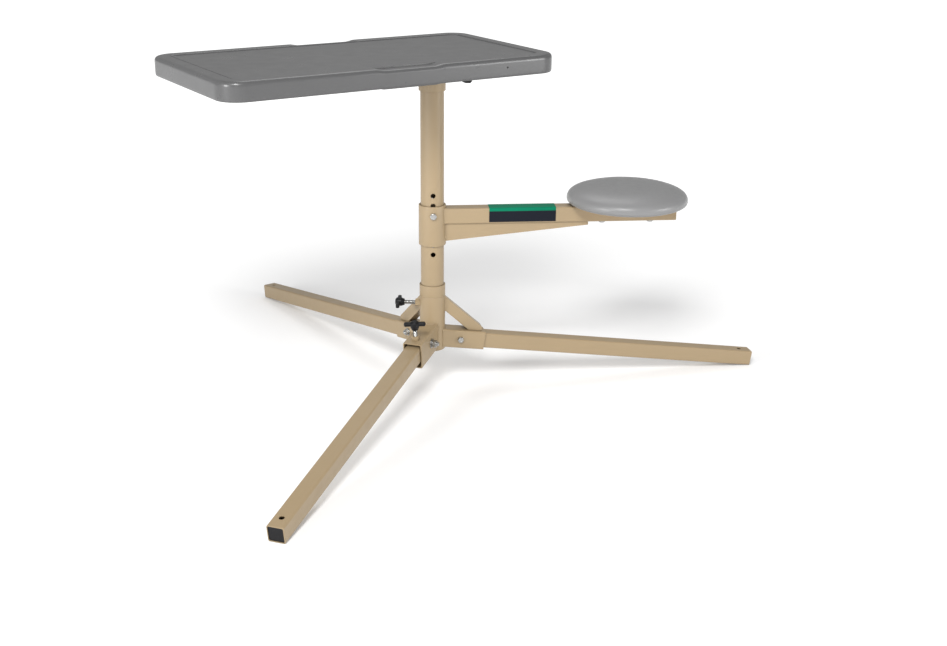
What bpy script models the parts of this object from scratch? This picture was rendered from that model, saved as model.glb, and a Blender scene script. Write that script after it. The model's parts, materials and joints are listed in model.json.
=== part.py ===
"""Swivel field bench: a moulded table and a round seat on one post, over a three-legged base.

Metres, +Z up, +X along the seat arm. The origin is on the floor, under the middle of the
object's box. The post's axis stands at POST_AXIS.
"""
import math

import bmesh
import bpy
from mathutils import Matrix

# Where the post stands, measured from the middle of the footprint
POST_AXIS = (-0.11442, 0.020956)

GAP = 0.0003                # between pieces that touch
ROUND = 48                  # sides of a large round piece
FINE = 20                   # sides of a small round piece

# Square leg tube, 1.5 in
LEG = 0.0381
LEG_WALL = 0.002
LEG_CORNER = 0.004
LEG_REACH = 0.8361          # post axis to the foot
LEG_DROOP = math.radians(7.83)
FRONT_DROOP = math.radians(8.83)
STAKE_HOLE = 0.006          # radius
STAKE_INSET = 0.030
AZIMUTH = {"right": math.radians(5.9), "rear": math.radians(121.3), "front": math.radians(-115.0)}
FOOT_HALF = LEG / 2 * math.cos(LEG_DROOP)
PLUG_LENGTH = 0.0125
PLUG_INSET = 0.0015

# Leg sockets, rectangular tube welded to the base tube
SOCKET_WALL = 0.0025
SOCKET_WIDTH = 0.044
SOCKET_HEIGHT = 0.046
SOCKET_END = 0.1265
FRONT_SOCKET_WIDTH = 0.0465
FRONT_SOCKET_HEIGHT = 0.0635
FRONT_SOCKET_END = 0.131
FRONT_SOCKET_DROP = 0.0033  # the front leg's pivot is this far above the socket's middle
BOLT_REACH = {"right": 0.066, "rear": 0.075, "front": 0.067}    # post axis to the cross bolts
LEG_INNER_END = 0.037
FRONT_INNER_END = 0.046

# Base tube and post
BASE_RADIUS = 0.0309
BASE_BORE = 0.0285
BASE_BOTTOM = 0.102
BASE_TOP = 0.2673
BAND_RADIUS = 0.0312
BAND_BOTTOM = 0.239
PLATE_RISE = 0.002          # base tube's rim to the plate inside it
POST_RADIUS = 0.0278
POST_BORE = 0.0253
POST_TOP = 0.7838
PLATE_THICK = 0.005
WASHER_THICK = 0.003
COPE_BOTTOM = 0.05
FOOT_FLANGE = 0.004
FOOT_HEIGHT = 0.022
CAP_THICK = 0.0025
CAP_DEPTH = 0.015

# Braces between the base tube and the two fixed sockets
BRACE = 0.0254
BRACE_WALL = 0.002
BRACE_TOP = 0.2337
BRACE_LOW = 0.1975
BRACE_END = 0.1216
BRACE_END_TOP = 0.1512
BRACE_FOOT = 0.08           # roughly where a brace's underside meets its socket
INSIDE_TUBE = 0.008         # how far a piece starts inside the tube before it is coped

# Seat collar, arm and gusset
COLLAR_RADIUS = 0.0325
COLLAR_BORE = 0.0282
COLLAR_BOTTOM = 0.3676
COLLAR_TOP = 0.4651
COLLAR_BOLT_HEIGHT = 0.4431
HOLE_PITCH = 0.024
HOLE_RADIUS = 0.006
HOLES_UP = 2
HOLES_DOWN = 4
ARM_TOP = 0.4574
ARM_END = 0.588
GUSSET_WIDTH = 0.026
GUSSET_WALL = 0.003
GUSSET_END = 0.374
GUSSET_DEEP = 0.0425
GUSSET_TIP = 0.008
LABEL_THICK = 0.0004
LABEL_START = 0.134
LABEL_END = 0.294

# Seat
SEAT_REACH = 0.4690
SEAT_RADIUS = 0.1452
SEAT_TOP = 0.5052
SEAT_WIDEST = 0.4700
SEAT_UNDER = 0.4605
BOARD_RADIUS = 0.120
BOARD_THICK = 0.010
SEAT_BOLT_SPREAD = 0.059

# Table
TABLE_AZIMUTH = math.radians(206.9)
TABLE_FAR = 0.5918          # post axis to the far short side
TABLE_NEAR = -0.2064
TABLE_HALF_WIDTH = 0.2137
TABLE_TOP = 0.831
TABLE_BOTTOM = 0.7895
TABLE_CORNER = 0.050
TABLE_SKIN = 0.003
FIELD_DEPTH = 0.002
RIM_WIDTH = 0.034
PAN_RECESS = 0.002
SLEEVE_RADIUS = 0.0315
SLEEVE_BORE = 0.0282
SLEEVE_BOTTOM = 0.7349
TABLE_PLATE = 0.110
TABLE_PLATE_THICK = 0.004
TABLE_BOLT_SPREAD = 0.042

# T-knobs and their studs
STUD_RADIUS = 0.005
BOSS_FLATS = 0.017
BOSS_HEIGHT = 0.010
BOSS_SUNK = 0.006           # coped part of a boss that sits on a round tube
KNOB_BAR = 0.053
KNOB_BAR_WIDE = 0.0125
KNOB_BAR_TALL = 0.0095
KNOB_HUB_RADIUS = 0.0105
KNOB_HUB_LENGTH = 0.0225
KNOB_BAR_HEIGHT = 0.0145    # hub's inner end to the middle of the bar
KNOB_BORE_DEPTH = 0.009
LOCK_HEIGHT = 0.2167
LOCK_AZIMUTH = math.radians(169.1)
LOCK_STANDOFF = 0.0275      # bare stud between boss and knob
LOCK_TURN = math.radians(80)    # knob's bar, away from hanging straight down
TABLE_LOCK_HEIGHT = 0.762
TABLE_LOCK_AZIMUTH = math.radians(-5.9)
LEVEL_REACH = 0.1075
LEVEL_STANDOFF = 0.016
LEVEL_TURN = math.radians(109.1)    # knob's bar, away from pointing along the leg

# Bolts
BOLT_RADIUS = 0.004
BOLT_FLATS = 0.013
PIVOT_RADIUS = 0.005
PIVOT_FLATS = 0.016
COLLAR_BOLT_FLATS = 0.014
HEAD_HEIGHT = 0.0055
NUT_HEIGHT = 0.0065
PIVOT_NUT_HEIGHT = 0.008
BOLT_TAIL = 0.004           # thread beyond a nut
PIVOT_TAIL = 0.006
LEG_WASHER_RADIUS = 0.0095
WASHER_RADIUS = 0.0115
WASHER_PLATE = 0.002
SPRING_WASHER_RADIUS = 0.009
SPRING_WASHER_PLATE = 0.0025

COLOURS = {
    "tan_paint": ((0.49, 0.40, 0.29), 0.45, 0.0),
    "zinc": ((0.62, 0.62, 0.60), 0.35, 1.0),
    "black_plastic": ((0.015, 0.015, 0.016), 0.5, 0.0),
    "grey_polymer": ((0.19, 0.19, 0.19), 0.5, 0.0),
    "grey_vinyl": ((0.22, 0.22, 0.22), 0.45, 0.0),
    "nylon": ((0.75, 0.74, 0.70), 0.5, 0.0),
    "plywood": ((0.45, 0.32, 0.18), 0.7, 0.0),
    "label": ((0.02, 0.16, 0.09), 0.4, 0.0),
}


def clear_scene():
    for obj in list(bpy.data.objects):
        bpy.data.objects.remove(obj, do_unlink=True)


def make_collection(name):
    collection = bpy.data.collections.new(name)
    bpy.context.scene.collection.children.link(collection)
    return collection


def make_materials():
    materials = {}
    for name, (colour, roughness, metallic) in COLOURS.items():
        material = bpy.data.materials.new(name)
        material.use_nodes = True
        shader = material.node_tree.nodes["Principled BSDF"]
        shader.inputs["Base Color"].default_value = (*colour, 1.0)
        shader.inputs["Roughness"].default_value = roughness
        shader.inputs["Metallic"].default_value = metallic
        materials[name] = material
    return materials


clear_scene()
PARTS = make_collection("swivel_field_bench")
CUTTERS = make_collection("cutters")
MATERIALS = make_materials()


# ---- outlines -------------------------------------------------------------------------

def circle(radius, sides):
    step = 2 * math.pi / sides
    return [(radius * math.cos(i * step), radius * math.sin(i * step)) for i in range(sides)]


def hexagon(flats):
    radius = flats / math.sqrt(3)
    return circle(radius, 6)


def rounded_rectangle(width, height, radius, steps=4, centre=(0.0, 0.0)):
    points = []
    corners = ((1, 1, 0), (-1, 1, 90), (-1, -1, 180), (1, -1, 270))
    for sx, sy, start in corners:
        cx = centre[0] + sx * (width / 2 - radius)
        cy = centre[1] + sy * (height / 2 - radius)
        for i in range(steps + 1):
            angle = math.radians(start + 90 * i / steps)
            points.append((cx + radius * math.cos(angle), cy + radius * math.sin(angle)))
    return points


# ---- makers ---------------------------------------------------------------------------

def add_object(name, mesh, material, cutter=False):
    obj = bpy.data.objects.new(name, mesh)
    if cutter:
        CUTTERS.objects.link(obj)
        obj.hide_render = True
        obj.display_type = "WIRE"
    else:
        PARTS.objects.link(obj)
        mesh.materials.clear()
        mesh.materials.append(MATERIALS[material])
        mesh.shade_smooth()
        mesh.set_sharp_from_angle(angle=math.radians(35))
    return obj


def place(obj, parent=None, location=(0, 0, 0), rotation=(0, 0, 0)):
    obj.parent = parent
    obj.location = location
    obj.rotation_euler = rotation
    return obj


def axis_turn(axis):
    """Matrix that stands a Z extrusion along the named axis."""
    if axis == "X":
        return Matrix(((0, 0, 1, 0), (1, 0, 0, 0), (0, 1, 0, 0), (0, 0, 0, 1)))
    if axis == "Y":
        return Matrix(((1, 0, 0, 0), (0, 0, -1, 0), (0, 1, 0, 0), (0, 0, 0, 1)))
    return Matrix.Identity(4)


def prism(name, outlines, low, high, axis="Z", material="tan_paint", cutter=False):
    """A flat outline, with holes, extruded from low to high along an axis."""
    curve = bpy.data.curves.new(name + "_outline", "CURVE")
    curve.dimensions = "2D"
    curve.fill_mode = "BOTH"
    curve.extrude = (high - low) / 2
    for outline in outlines:
        spline = curve.splines.new("POLY")
        spline.points.add(len(outline) - 1)
        for point, (x, y) in zip(spline.points, outline):
            point.co = (x, y, 0, 1)
        spline.use_cyclic_u = True
    guide = bpy.data.objects.new(name + "_guide", curve)
    CUTTERS.objects.link(guide)
    graph = bpy.context.evaluated_depsgraph_get()
    mesh = bpy.data.meshes.new_from_object(guide.evaluated_get(graph))
    bpy.data.objects.remove(guide, do_unlink=True)
    middle = (high + low) / 2
    if axis == "Y":
        middle = -middle
    shape = bmesh.new()
    shape.from_mesh(mesh)
    bmesh.ops.remove_doubles(shape, verts=shape.verts, dist=0.00001)
    shape.transform(axis_turn(axis) @ Matrix.Translation((0, 0, middle)))
    bmesh.ops.recalc_face_normals(shape, faces=shape.faces)
    shape.to_mesh(mesh)
    shape.free()
    return add_object(name, mesh, material, cutter)


def turned(name, profile, sides=ROUND, closed=True, material="tan_paint"):
    """A profile of (radius, height) points turned about Z. It runs down its outer side."""
    mesh = bpy.data.meshes.new(name)
    count = len(profile)
    edges = [(i, i + 1) for i in range(count - 1)]
    if closed:
        edges.append((count - 1, 0))
    mesh.from_pydata([(radius, 0, height) for radius, height in profile], edges, [])
    obj = add_object(name, mesh, material)
    screw = obj.modifiers.new("turn", "SCREW")
    screw.steps = sides
    screw.render_steps = sides
    screw.use_merge_vertices = True
    screw.merge_threshold = 0.00001
    return obj


def ring(name, outer, inner, low, high, material="tan_paint", sides=ROUND):
    profile = [(outer, high), (outer, low), (inner, low), (inner, high)]
    return turned(name, profile, sides, True, material)


def rod(name, radius, low, high, axis="Z", material="zinc", cutter=False, sides=FINE):
    return prism(name, [circle(radius, sides)], low, high, axis, material, cutter)


def cut(obj, cutter, operation="DIFFERENCE"):
    boolean = obj.modifiers.new("cut", "BOOLEAN")
    boolean.operation = operation
    boolean.solver = "EXACT"
    boolean.object = cutter
    return obj


def square_tube(name, width, height, wall, corner, low, high, parent, location=(0, 0, 0)):
    outer = rounded_rectangle(width, height, corner)
    inner = rounded_rectangle(width - 2 * wall, height - 2 * wall, corner - wall / 2, 3)
    tube = prism(name, [outer, inner], low, high, "X")
    return place(tube, parent, location)


def empty(name, parent, location=(0, 0, 0), rotation=(0, 0, 0)):
    obj = bpy.data.objects.new(name, None)
    obj.empty_display_size = 0.05
    PARTS.objects.link(obj)
    return place(obj, parent, location, rotation)


def hex_bolt(name, radius, flats, length, parent, location, rotation=(0, 0, 0)):
    """Head below Z = 0, shank up +Z."""
    bolt = prism(name, [hexagon(flats)], -HEAD_HEIGHT, 0, "Z", "zinc")
    place(bolt, parent, location, rotation)
    shank = rod(name + "_shank", radius, -HEAD_HEIGHT / 2, length, "Z", "zinc", True, 16)
    place(shank, parent, location, rotation)
    return cut(bolt, shank, "UNION")


def hex_nut(name, bore, flats, height, parent, location, rotation=(0, 0, 0), material="zinc"):
    nut = prism(name, [hexagon(flats), circle(bore, 16)], 0, height, "Z", material)
    return place(nut, parent, location, rotation)


def flat_washer(name, radius, bore, thick, parent, location, rotation=(0, 0, 0)):
    washer = prism(name, [circle(radius, FINE), circle(bore, 16)], 0, thick, "Z", "zinc")
    return place(washer, parent, location, rotation)


# ---- base -----------------------------------------------------------------------------

def make_base(post_axis):
    tube_profile = [
        (BAND_RADIUS, BASE_TOP),
        (BAND_RADIUS, BAND_BOTTOM),
        (BASE_RADIUS, BAND_BOTTOM),
        (BASE_RADIUS, BASE_BOTTOM),
        (BASE_BORE, BASE_BOTTOM),
        (BASE_BORE, BASE_TOP),
    ]
    tube = place(turned("base_tube", tube_profile), post_axis)
    lock_hole = rod("lock_hole", STUD_RADIUS + GAP, 0, BASE_RADIUS * 2, "X", "zinc", True)
    place(lock_hole, post_axis, (0, 0, LOCK_HEIGHT), (0, 0, LOCK_AZIMUTH))
    cut(tube, lock_hole)

    plate_low = BASE_BOTTOM + PLATE_RISE
    plate_high = plate_low + PLATE_THICK
    plate = rod("base_plate", BASE_BORE - GAP, plate_low, plate_high, "Z", "tan_paint", False, ROUND)
    place(plate, post_axis)
    washer_low = plate_high + GAP
    washer_high = washer_low + WASHER_THICK
    washer = rod("thrust_washer", BASE_BORE - 2 * GAP, washer_low, washer_high, "Z", "nylon", False, ROUND)
    place(washer, post_axis)
    return washer_high


def base_cutter(name, post_axis):
    cutter = rod(name, BASE_RADIUS + GAP, COPE_BOTTOM, BASE_TOP, "Z", "tan_paint", True, ROUND)
    return place(cutter, post_axis)


def leg_axis_height(reach, droop):
    return FOOT_HALF + (LEG_REACH - reach) * math.tan(droop)


def make_fixed_leg(side, post_axis, tube_cutter):
    """Socket, leg, end plug and cross bolt of a leg that is bolted fast."""
    reach = BOLT_REACH[side]
    bolt_height = leg_axis_height(reach, LEG_DROOP)
    direction = empty(side + "_leg_direction", post_axis, (0, 0, bolt_height), (0, 0, AZIMUTH[side]))
    frame = empty(side + "_leg_frame", direction, (reach, 0, 0), (0, LEG_DROOP, 0))
    along = 1 / math.cos(LEG_DROOP)

    socket_low = -reach * along
    socket_high = (SOCKET_END - reach) * along
    socket = square_tube("socket_" + side, SOCKET_WIDTH, SOCKET_HEIGHT, SOCKET_WALL, 0.004,
                         socket_low, socket_high, frame)
    cut(socket, tube_cutter)

    leg_low = (LEG_INNER_END - reach) * along
    leg_high = (LEG_REACH - reach) * along
    leg = square_tube("leg_" + side, LEG, LEG, LEG_WALL, LEG_CORNER, leg_low, leg_high, frame)
    make_leg_end(side, leg, leg_high, frame)

    hole = rod(side + "_bolt_hole", BOLT_RADIUS + GAP, -SOCKET_WIDTH, SOCKET_WIDTH, "Y", "zinc", True)
    place(hole, frame)
    cut(socket, hole)
    cut(leg, hole)
    face = SOCKET_WIDTH / 2 + GAP
    turn_out = (-math.pi / 2, 0, 0)
    flat_washer("leg_washer_" + side, LEG_WASHER_RADIUS, BOLT_RADIUS + GAP, WASHER_PLATE, frame,
                (0, face, 0), turn_out)
    nut_face = face + WASHER_PLATE + GAP
    hex_nut("leg_nut_" + side, BOLT_RADIUS + GAP, BOLT_FLATS, NUT_HEIGHT, frame, (0, nut_face, 0), turn_out)
    length = face + nut_face + NUT_HEIGHT + BOLT_TAIL
    hex_bolt("leg_bolt_" + side, BOLT_RADIUS, BOLT_FLATS, length, frame, (0, -face, 0), turn_out)
    return direction


def make_leg_end(side, leg, leg_high, frame):
    """Stake hole and black end plug."""
    hole = rod(side + "_stake_hole", STAKE_HOLE, -LEG, LEG, "Z", "zinc", True)
    place(hole, frame, (leg_high - STAKE_INSET, 0, 0))
    cut(leg, hole)
    inside = LEG - 2 * LEG_WALL - 2 * GAP
    outline = rounded_rectangle(inside, inside, LEG_CORNER - LEG_WALL / 2, 3)
    pocket = rounded_rectangle(inside - 0.004, inside - 0.004, 0.002, 3)
    plug_high = leg_high - PLUG_INSET
    plug = prism("leg_plug_" + side, [outline], plug_high - PLUG_LENGTH, plug_high, "X", "black_plastic")
    place(plug, frame)
    recess = prism(side + "_plug_recess", [pocket], plug_high - 2 * PLUG_LENGTH, plug_high - LEG_WALL, "X",
                   "zinc", True)
    place(recess, frame)
    cut(plug, recess)


def make_front_leg(post_axis, tube_cutter):
    """Tall socket, pivoting leg and pivot bolt."""
    reach = BOLT_REACH["front"]
    pivot_height = leg_axis_height(reach, FRONT_DROOP)
    direction = empty("front_leg_direction", post_axis, (0, 0, pivot_height), (0, 0, AZIMUTH["front"]))
    socket_frame = empty("front_socket_frame", direction, (reach, 0, 0), (0, LEG_DROOP, 0))
    leg_frame = empty("front_leg_frame", direction, (reach, 0, 0), (0, FRONT_DROOP, 0))
    along = 1 / math.cos(LEG_DROOP)

    socket = square_tube("socket_front", FRONT_SOCKET_WIDTH, FRONT_SOCKET_HEIGHT, SOCKET_WALL, 0.004,
                         -reach * along, (FRONT_SOCKET_END - reach) * along,
                         socket_frame, (0, 0, -FRONT_SOCKET_DROP))
    cut(socket, tube_cutter)

    leg_along = 1 / math.cos(FRONT_DROOP)
    leg_high = (LEG_REACH - reach) * leg_along
    leg = square_tube("leg_front", LEG, LEG, LEG_WALL, LEG_CORNER,
                      (FRONT_INNER_END - reach) * leg_along, leg_high, leg_frame)
    make_leg_end("front", leg, leg_high, leg_frame)

    hole = rod("pivot_hole", PIVOT_RADIUS + GAP, -FRONT_SOCKET_WIDTH, FRONT_SOCKET_WIDTH, "Y", "zinc", True)
    place(hole, leg_frame)
    cut(socket, hole)
    cut(leg, hole)
    half = LEG / 2 - LEG_WALL - GAP
    sleeve = prism("pivot_sleeve", [circle(0.0075, FINE), circle(PIVOT_RADIUS + GAP, FINE)],
                   -half, half, "Y", "zinc")
    place(sleeve, leg_frame)

    face = FRONT_SOCKET_WIDTH / 2 + GAP
    bore = PIVOT_RADIUS + GAP
    turn_out = (-math.pi / 2, 0, 0)
    flat_washer("pivot_washer", WASHER_RADIUS, bore, WASHER_PLATE, socket_frame, (0, face, 0), turn_out)
    spring_face = face + WASHER_PLATE + GAP
    flat_washer("pivot_spring_washer", SPRING_WASHER_RADIUS, bore, SPRING_WASHER_PLATE, socket_frame,
                (0, spring_face, 0), turn_out)
    nut_face = spring_face + SPRING_WASHER_PLATE + GAP
    hex_nut("pivot_nut", bore, PIVOT_FLATS, PIVOT_NUT_HEIGHT, socket_frame, (0, nut_face, 0), turn_out)
    length = face + nut_face + PIVOT_NUT_HEIGHT + PIVOT_TAIL
    hex_bolt("pivot_bolt", PIVOT_RADIUS, PIVOT_FLATS, length, socket_frame, (0, -face, 0), turn_out)
    return socket, socket_frame


def make_levelling_screw(socket, socket_frame):
    reach = (LEVEL_REACH - BOLT_REACH["front"]) / math.cos(LEG_DROOP)
    top = FRONT_SOCKET_HEIGHT / 2 - FRONT_SOCKET_DROP
    hole = rod("levelling_hole", STUD_RADIUS + GAP, 0, 2 * top, "Z", "zinc", True)
    place(hole, socket_frame, (reach, 0, 0))
    cut(socket, hole)
    boss_low = top + GAP
    hex_nut("levelling_boss", STUD_RADIUS + GAP, BOSS_FLATS, BOSS_HEIGHT, socket_frame,
            (reach, 0, boss_low), (0, 0, 0), "tan_paint")
    sag = (FRONT_DROOP - LEG_DROOP) * reach
    tip = LEG / 2 - sag + GAP
    knob_low = boss_low + BOSS_HEIGHT + LEVEL_STANDOFF
    frame = empty("levelling_screw_frame", socket_frame, (reach, 0, 0))
    make_screw("levelling", frame, tip, knob_low, LEVEL_TURN)


def make_screw(name, frame, tip, knob_low, bar_turn):
    """A stud and its T-knob along +Z of the frame."""
    stud = rod(name + "_stud", STUD_RADIUS, tip, knob_low + KNOB_BORE_DEPTH - GAP, "Z", "zinc")
    place(stud, frame)
    hub_profile = [
        (0, knob_low + KNOB_HUB_LENGTH),
        (KNOB_HUB_RADIUS * 0.7, knob_low + KNOB_HUB_LENGTH),
        (KNOB_HUB_RADIUS, knob_low + KNOB_HUB_LENGTH - 0.003),
        (KNOB_HUB_RADIUS, knob_low + 0.008),
        (KNOB_HUB_RADIUS * 0.75, knob_low),
        (STUD_RADIUS + GAP, knob_low),
        (STUD_RADIUS + GAP, knob_low + KNOB_BORE_DEPTH),
        (0, knob_low + KNOB_BORE_DEPTH),
    ]
    knob = turned(name + "_knob", hub_profile, FINE + 4, False, "black_plastic")
    place(knob, frame)
    bar_middle = knob_low + KNOB_BAR_HEIGHT
    outline = rounded_rectangle(KNOB_BAR, KNOB_BAR_WIDE, KNOB_BAR_WIDE * 0.35, 3)
    bar = prism(name + "_bar", [outline], bar_middle - KNOB_BAR_TALL / 2, bar_middle + KNOB_BAR_TALL / 2,
                "Z", "black_plastic", True)
    place(bar, frame, (0, 0, 0), (0, 0, bar_turn))
    cut(knob, bar, "UNION")


def make_brace(side, direction, tube_cutter):
    """Square-tube strut from the base tube down to the top of a fixed socket."""
    bolt_height = leg_axis_height(BOLT_REACH[side], LEG_DROOP)
    socket_top = SOCKET_HEIGHT / 2 / math.cos(LEG_DROOP) + GAP

    def top_at(reach):
        return socket_top + (BOLT_REACH[side] - reach) * math.tan(LEG_DROOP)

    high = BRACE_TOP - bolt_height
    low = BRACE_LOW - bolt_height
    end_top = BRACE_END_TOP - bolt_height
    slope = (end_top - high) / (BRACE_END - BASE_RADIUS)
    lower_end = BASE_RADIUS + (low - top_at(BRACE_FOOT)) / -slope
    inner = BASE_RADIUS - INSIDE_TUBE
    outline = [
        (inner, high - slope * INSIDE_TUBE),
        (BRACE_END, end_top),
        (BRACE_END, top_at(BRACE_END)),
        (lower_end, top_at(lower_end)),
        (inner, low - slope * INSIDE_TUBE),
    ]
    brace = prism("brace_" + side, [outline], -BRACE / 2, BRACE / 2, "Y")
    place(brace, direction)
    wall = BRACE_WALL
    drop = wall / math.cos(math.atan(slope))
    past = 2 * INSIDE_TUBE
    hollow_outline = [
        (BASE_RADIUS - past, high - slope * past - drop),
        (BRACE_END - wall, end_top + slope * -wall - drop),
        (BRACE_END - wall, top_at(BRACE_END) + 2 * wall),
        (lower_end + wall, top_at(lower_end) + 2 * wall),
        (BASE_RADIUS - past, low - slope * past + drop),
    ]
    hollow = prism(side + "_brace_hollow", [hollow_outline], -BRACE / 2 + wall, BRACE / 2 - wall, "Y",
                   "tan_paint", True)
    place(hollow, direction)
    cut(brace, hollow)
    cut(brace, tube_cutter)


def make_side_screw(name, parent, radius, wall_hole_radius, height, azimuth, bar_turn):
    """Welded boss, stud and T-knob that clamp a round tube inside another from the side."""
    frame = empty(name + "_screw_frame", parent, (0, 0, height), (0, math.pi / 2, azimuth))
    boss = hex_nut(name + "_boss", STUD_RADIUS + GAP, BOSS_FLATS, BOSS_HEIGHT + BOSS_SUNK, frame,
                   (0, 0, radius + GAP - BOSS_SUNK), (0, 0, 0), "tan_paint")
    cope = rod(name + "_cope", radius + GAP, height - BOSS_FLATS, height + BOSS_FLATS, "Z", "tan_paint", True,
               ROUND)
    place(cope, parent)
    cut(boss, cope)
    tip = wall_hole_radius + GAP
    knob_low = radius + BOSS_HEIGHT + LOCK_STANDOFF
    make_screw(name, frame, tip, knob_low, bar_turn)


# ---- post, arm and seat ---------------------------------------------------------------

def make_post(post_axis, floor_height):
    foot_low = floor_height + GAP
    foot_profile = [
        (0, foot_low + FOOT_HEIGHT),
        (POST_BORE - GAP, foot_low + FOOT_HEIGHT),
        (POST_BORE - GAP, foot_low + FOOT_FLANGE),
        (POST_RADIUS, foot_low + FOOT_FLANGE),
        (POST_RADIUS, foot_low),
        (0, foot_low),
    ]
    place(turned("post_foot", foot_profile, ROUND, False, "nylon"), post_axis)
    cap_low = POST_TOP + GAP
    cap_high = cap_low + CAP_THICK
    cap_profile = [
        (0, cap_high),
        (POST_RADIUS, cap_high),
        (POST_RADIUS, cap_low),
        (POST_BORE - GAP, cap_low),
        (POST_BORE - GAP, cap_low - CAP_DEPTH),
        (0, cap_low - CAP_DEPTH),
    ]
    place(turned("post_cap", cap_profile, ROUND, False, "nylon"), post_axis)

    post = ring("post", POST_RADIUS, POST_BORE, foot_low + FOOT_FLANGE + GAP, POST_TOP)
    place(post, post_axis)
    for step in range(-HOLES_DOWN, HOLES_UP + 1):
        height = COLLAR_BOLT_HEIGHT + step * HOLE_PITCH
        hole = rod("post_hole_%d" % (step + HOLES_DOWN), HOLE_RADIUS, -2 * POST_RADIUS, 2 * POST_RADIUS, "Y",
                   "zinc", True, 16)
        place(hole, post_axis, (0, 0, height))
        cut(post, hole)


def make_collar(post_axis):
    collar = place(ring("seat_collar", COLLAR_RADIUS, COLLAR_BORE, COLLAR_BOTTOM, COLLAR_TOP), post_axis)
    hole = rod("collar_hole", PIVOT_RADIUS + GAP, -2 * COLLAR_RADIUS, 2 * COLLAR_RADIUS, "Y", "zinc", True)
    place(hole, post_axis, (0, 0, COLLAR_BOLT_HEIGHT))
    cut(collar, hole)
    face = COLLAR_RADIUS + GAP
    length = 2 * face + NUT_HEIGHT + BOLT_TAIL
    hex_bolt("collar_bolt", PIVOT_RADIUS, COLLAR_BOLT_FLATS, length, post_axis,
             (0, -face, COLLAR_BOLT_HEIGHT), (-math.pi / 2, 0, 0))
    hex_nut("collar_nut", PIVOT_RADIUS + GAP, COLLAR_BOLT_FLATS, NUT_HEIGHT, post_axis,
            (0, face, COLLAR_BOLT_HEIGHT), (-math.pi / 2, 0, 0))


def make_arm(post_axis):
    cope = rod("collar_cope", COLLAR_RADIUS + GAP, COLLAR_BOTTOM - LEG, COLLAR_TOP + LEG, "Z", "tan_paint",
               True, ROUND)
    place(cope, post_axis)
    middle = ARM_TOP - LEG / 2
    arm = square_tube("seat_arm", LEG, LEG, LEG_WALL, LEG_CORNER, 0.0, ARM_END, post_axis, (0, 0, middle))
    cut(arm, cope)
    for side in (-1, 1):
        hole = rod("seat_hole_%d" % (side + 1), BOLT_RADIUS + GAP, ARM_TOP - 2 * LEG, ARM_TOP + LEG, "Z",
                   "zinc", True)
        place(hole, post_axis, (SEAT_REACH + side * SEAT_BOLT_SPREAD, 0, 0))
        cut(arm, hole)

    inside = LEG - 2 * LEG_WALL - 2 * GAP
    outline = rounded_rectangle(inside, inside, LEG_CORNER - LEG_WALL / 2, 3)
    plug_high = ARM_END - PLUG_INSET
    plug = prism("arm_plug", [outline], plug_high - PLUG_LENGTH, plug_high, "X", "black_plastic")
    place(plug, post_axis, (0, 0, middle))

    high = ARM_TOP - LEG - GAP
    deep = high - GUSSET_DEEP
    tip = high - GUSSET_TIP
    inner = COLLAR_RADIUS - INSIDE_TUBE
    outline = [(inner, high), (GUSSET_END, high), (GUSSET_END, tip), (inner, deep)]
    gusset = prism("arm_gusset", [outline], -GUSSET_WIDTH / 2, GUSSET_WIDTH / 2, "Y")
    place(gusset, post_axis)
    slope = (tip - deep) / (GUSSET_END - inner)
    past = 2 * INSIDE_TUBE
    hollow_outline = [
        (inner - past, high + past),
        (GUSSET_END - GUSSET_WALL, high + past),
        (GUSSET_END - GUSSET_WALL, tip + GUSSET_WALL),
        (inner - past, deep - slope * past + GUSSET_WALL),
    ]
    half = GUSSET_WIDTH / 2 - GUSSET_WALL
    hollow = prism("gusset_hollow", [hollow_outline], -half, half, "Y", "tan_paint", True)
    place(hollow, post_axis)
    cut(gusset, hollow)
    cut(gusset, cope)


def make_label(post_axis):
    """Thin wrap over the arm's top and one side."""
    inner = LEG / 2 + GAP
    outer = inner + LABEL_THICK
    bend = LEG_CORNER + GAP
    points = [(LEG / 2 - LEG_CORNER, outer)]
    steps = 4
    for i in range(steps + 1):
        angle = math.radians(90 + 90 * i / steps)
        radius = bend + LABEL_THICK
        points.append((-inner + bend + radius * math.cos(angle), inner - bend + radius * math.sin(angle)))
    points.append((-outer, -LEG / 2 + LEG_CORNER))
    points.append((-inner, -LEG / 2 + LEG_CORNER))
    for i in range(steps + 1):
        angle = math.radians(180 - 90 * i / steps)
        points.append((-inner + bend + bend * math.cos(angle), inner - bend + bend * math.sin(angle)))
    points.append((LEG / 2 - LEG_CORNER, inner))
    label = prism("arm_label", [points], LABEL_START, LABEL_END, "X", "label")
    place(label, post_axis, (0, 0, ARM_TOP - LEG / 2))


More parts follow.
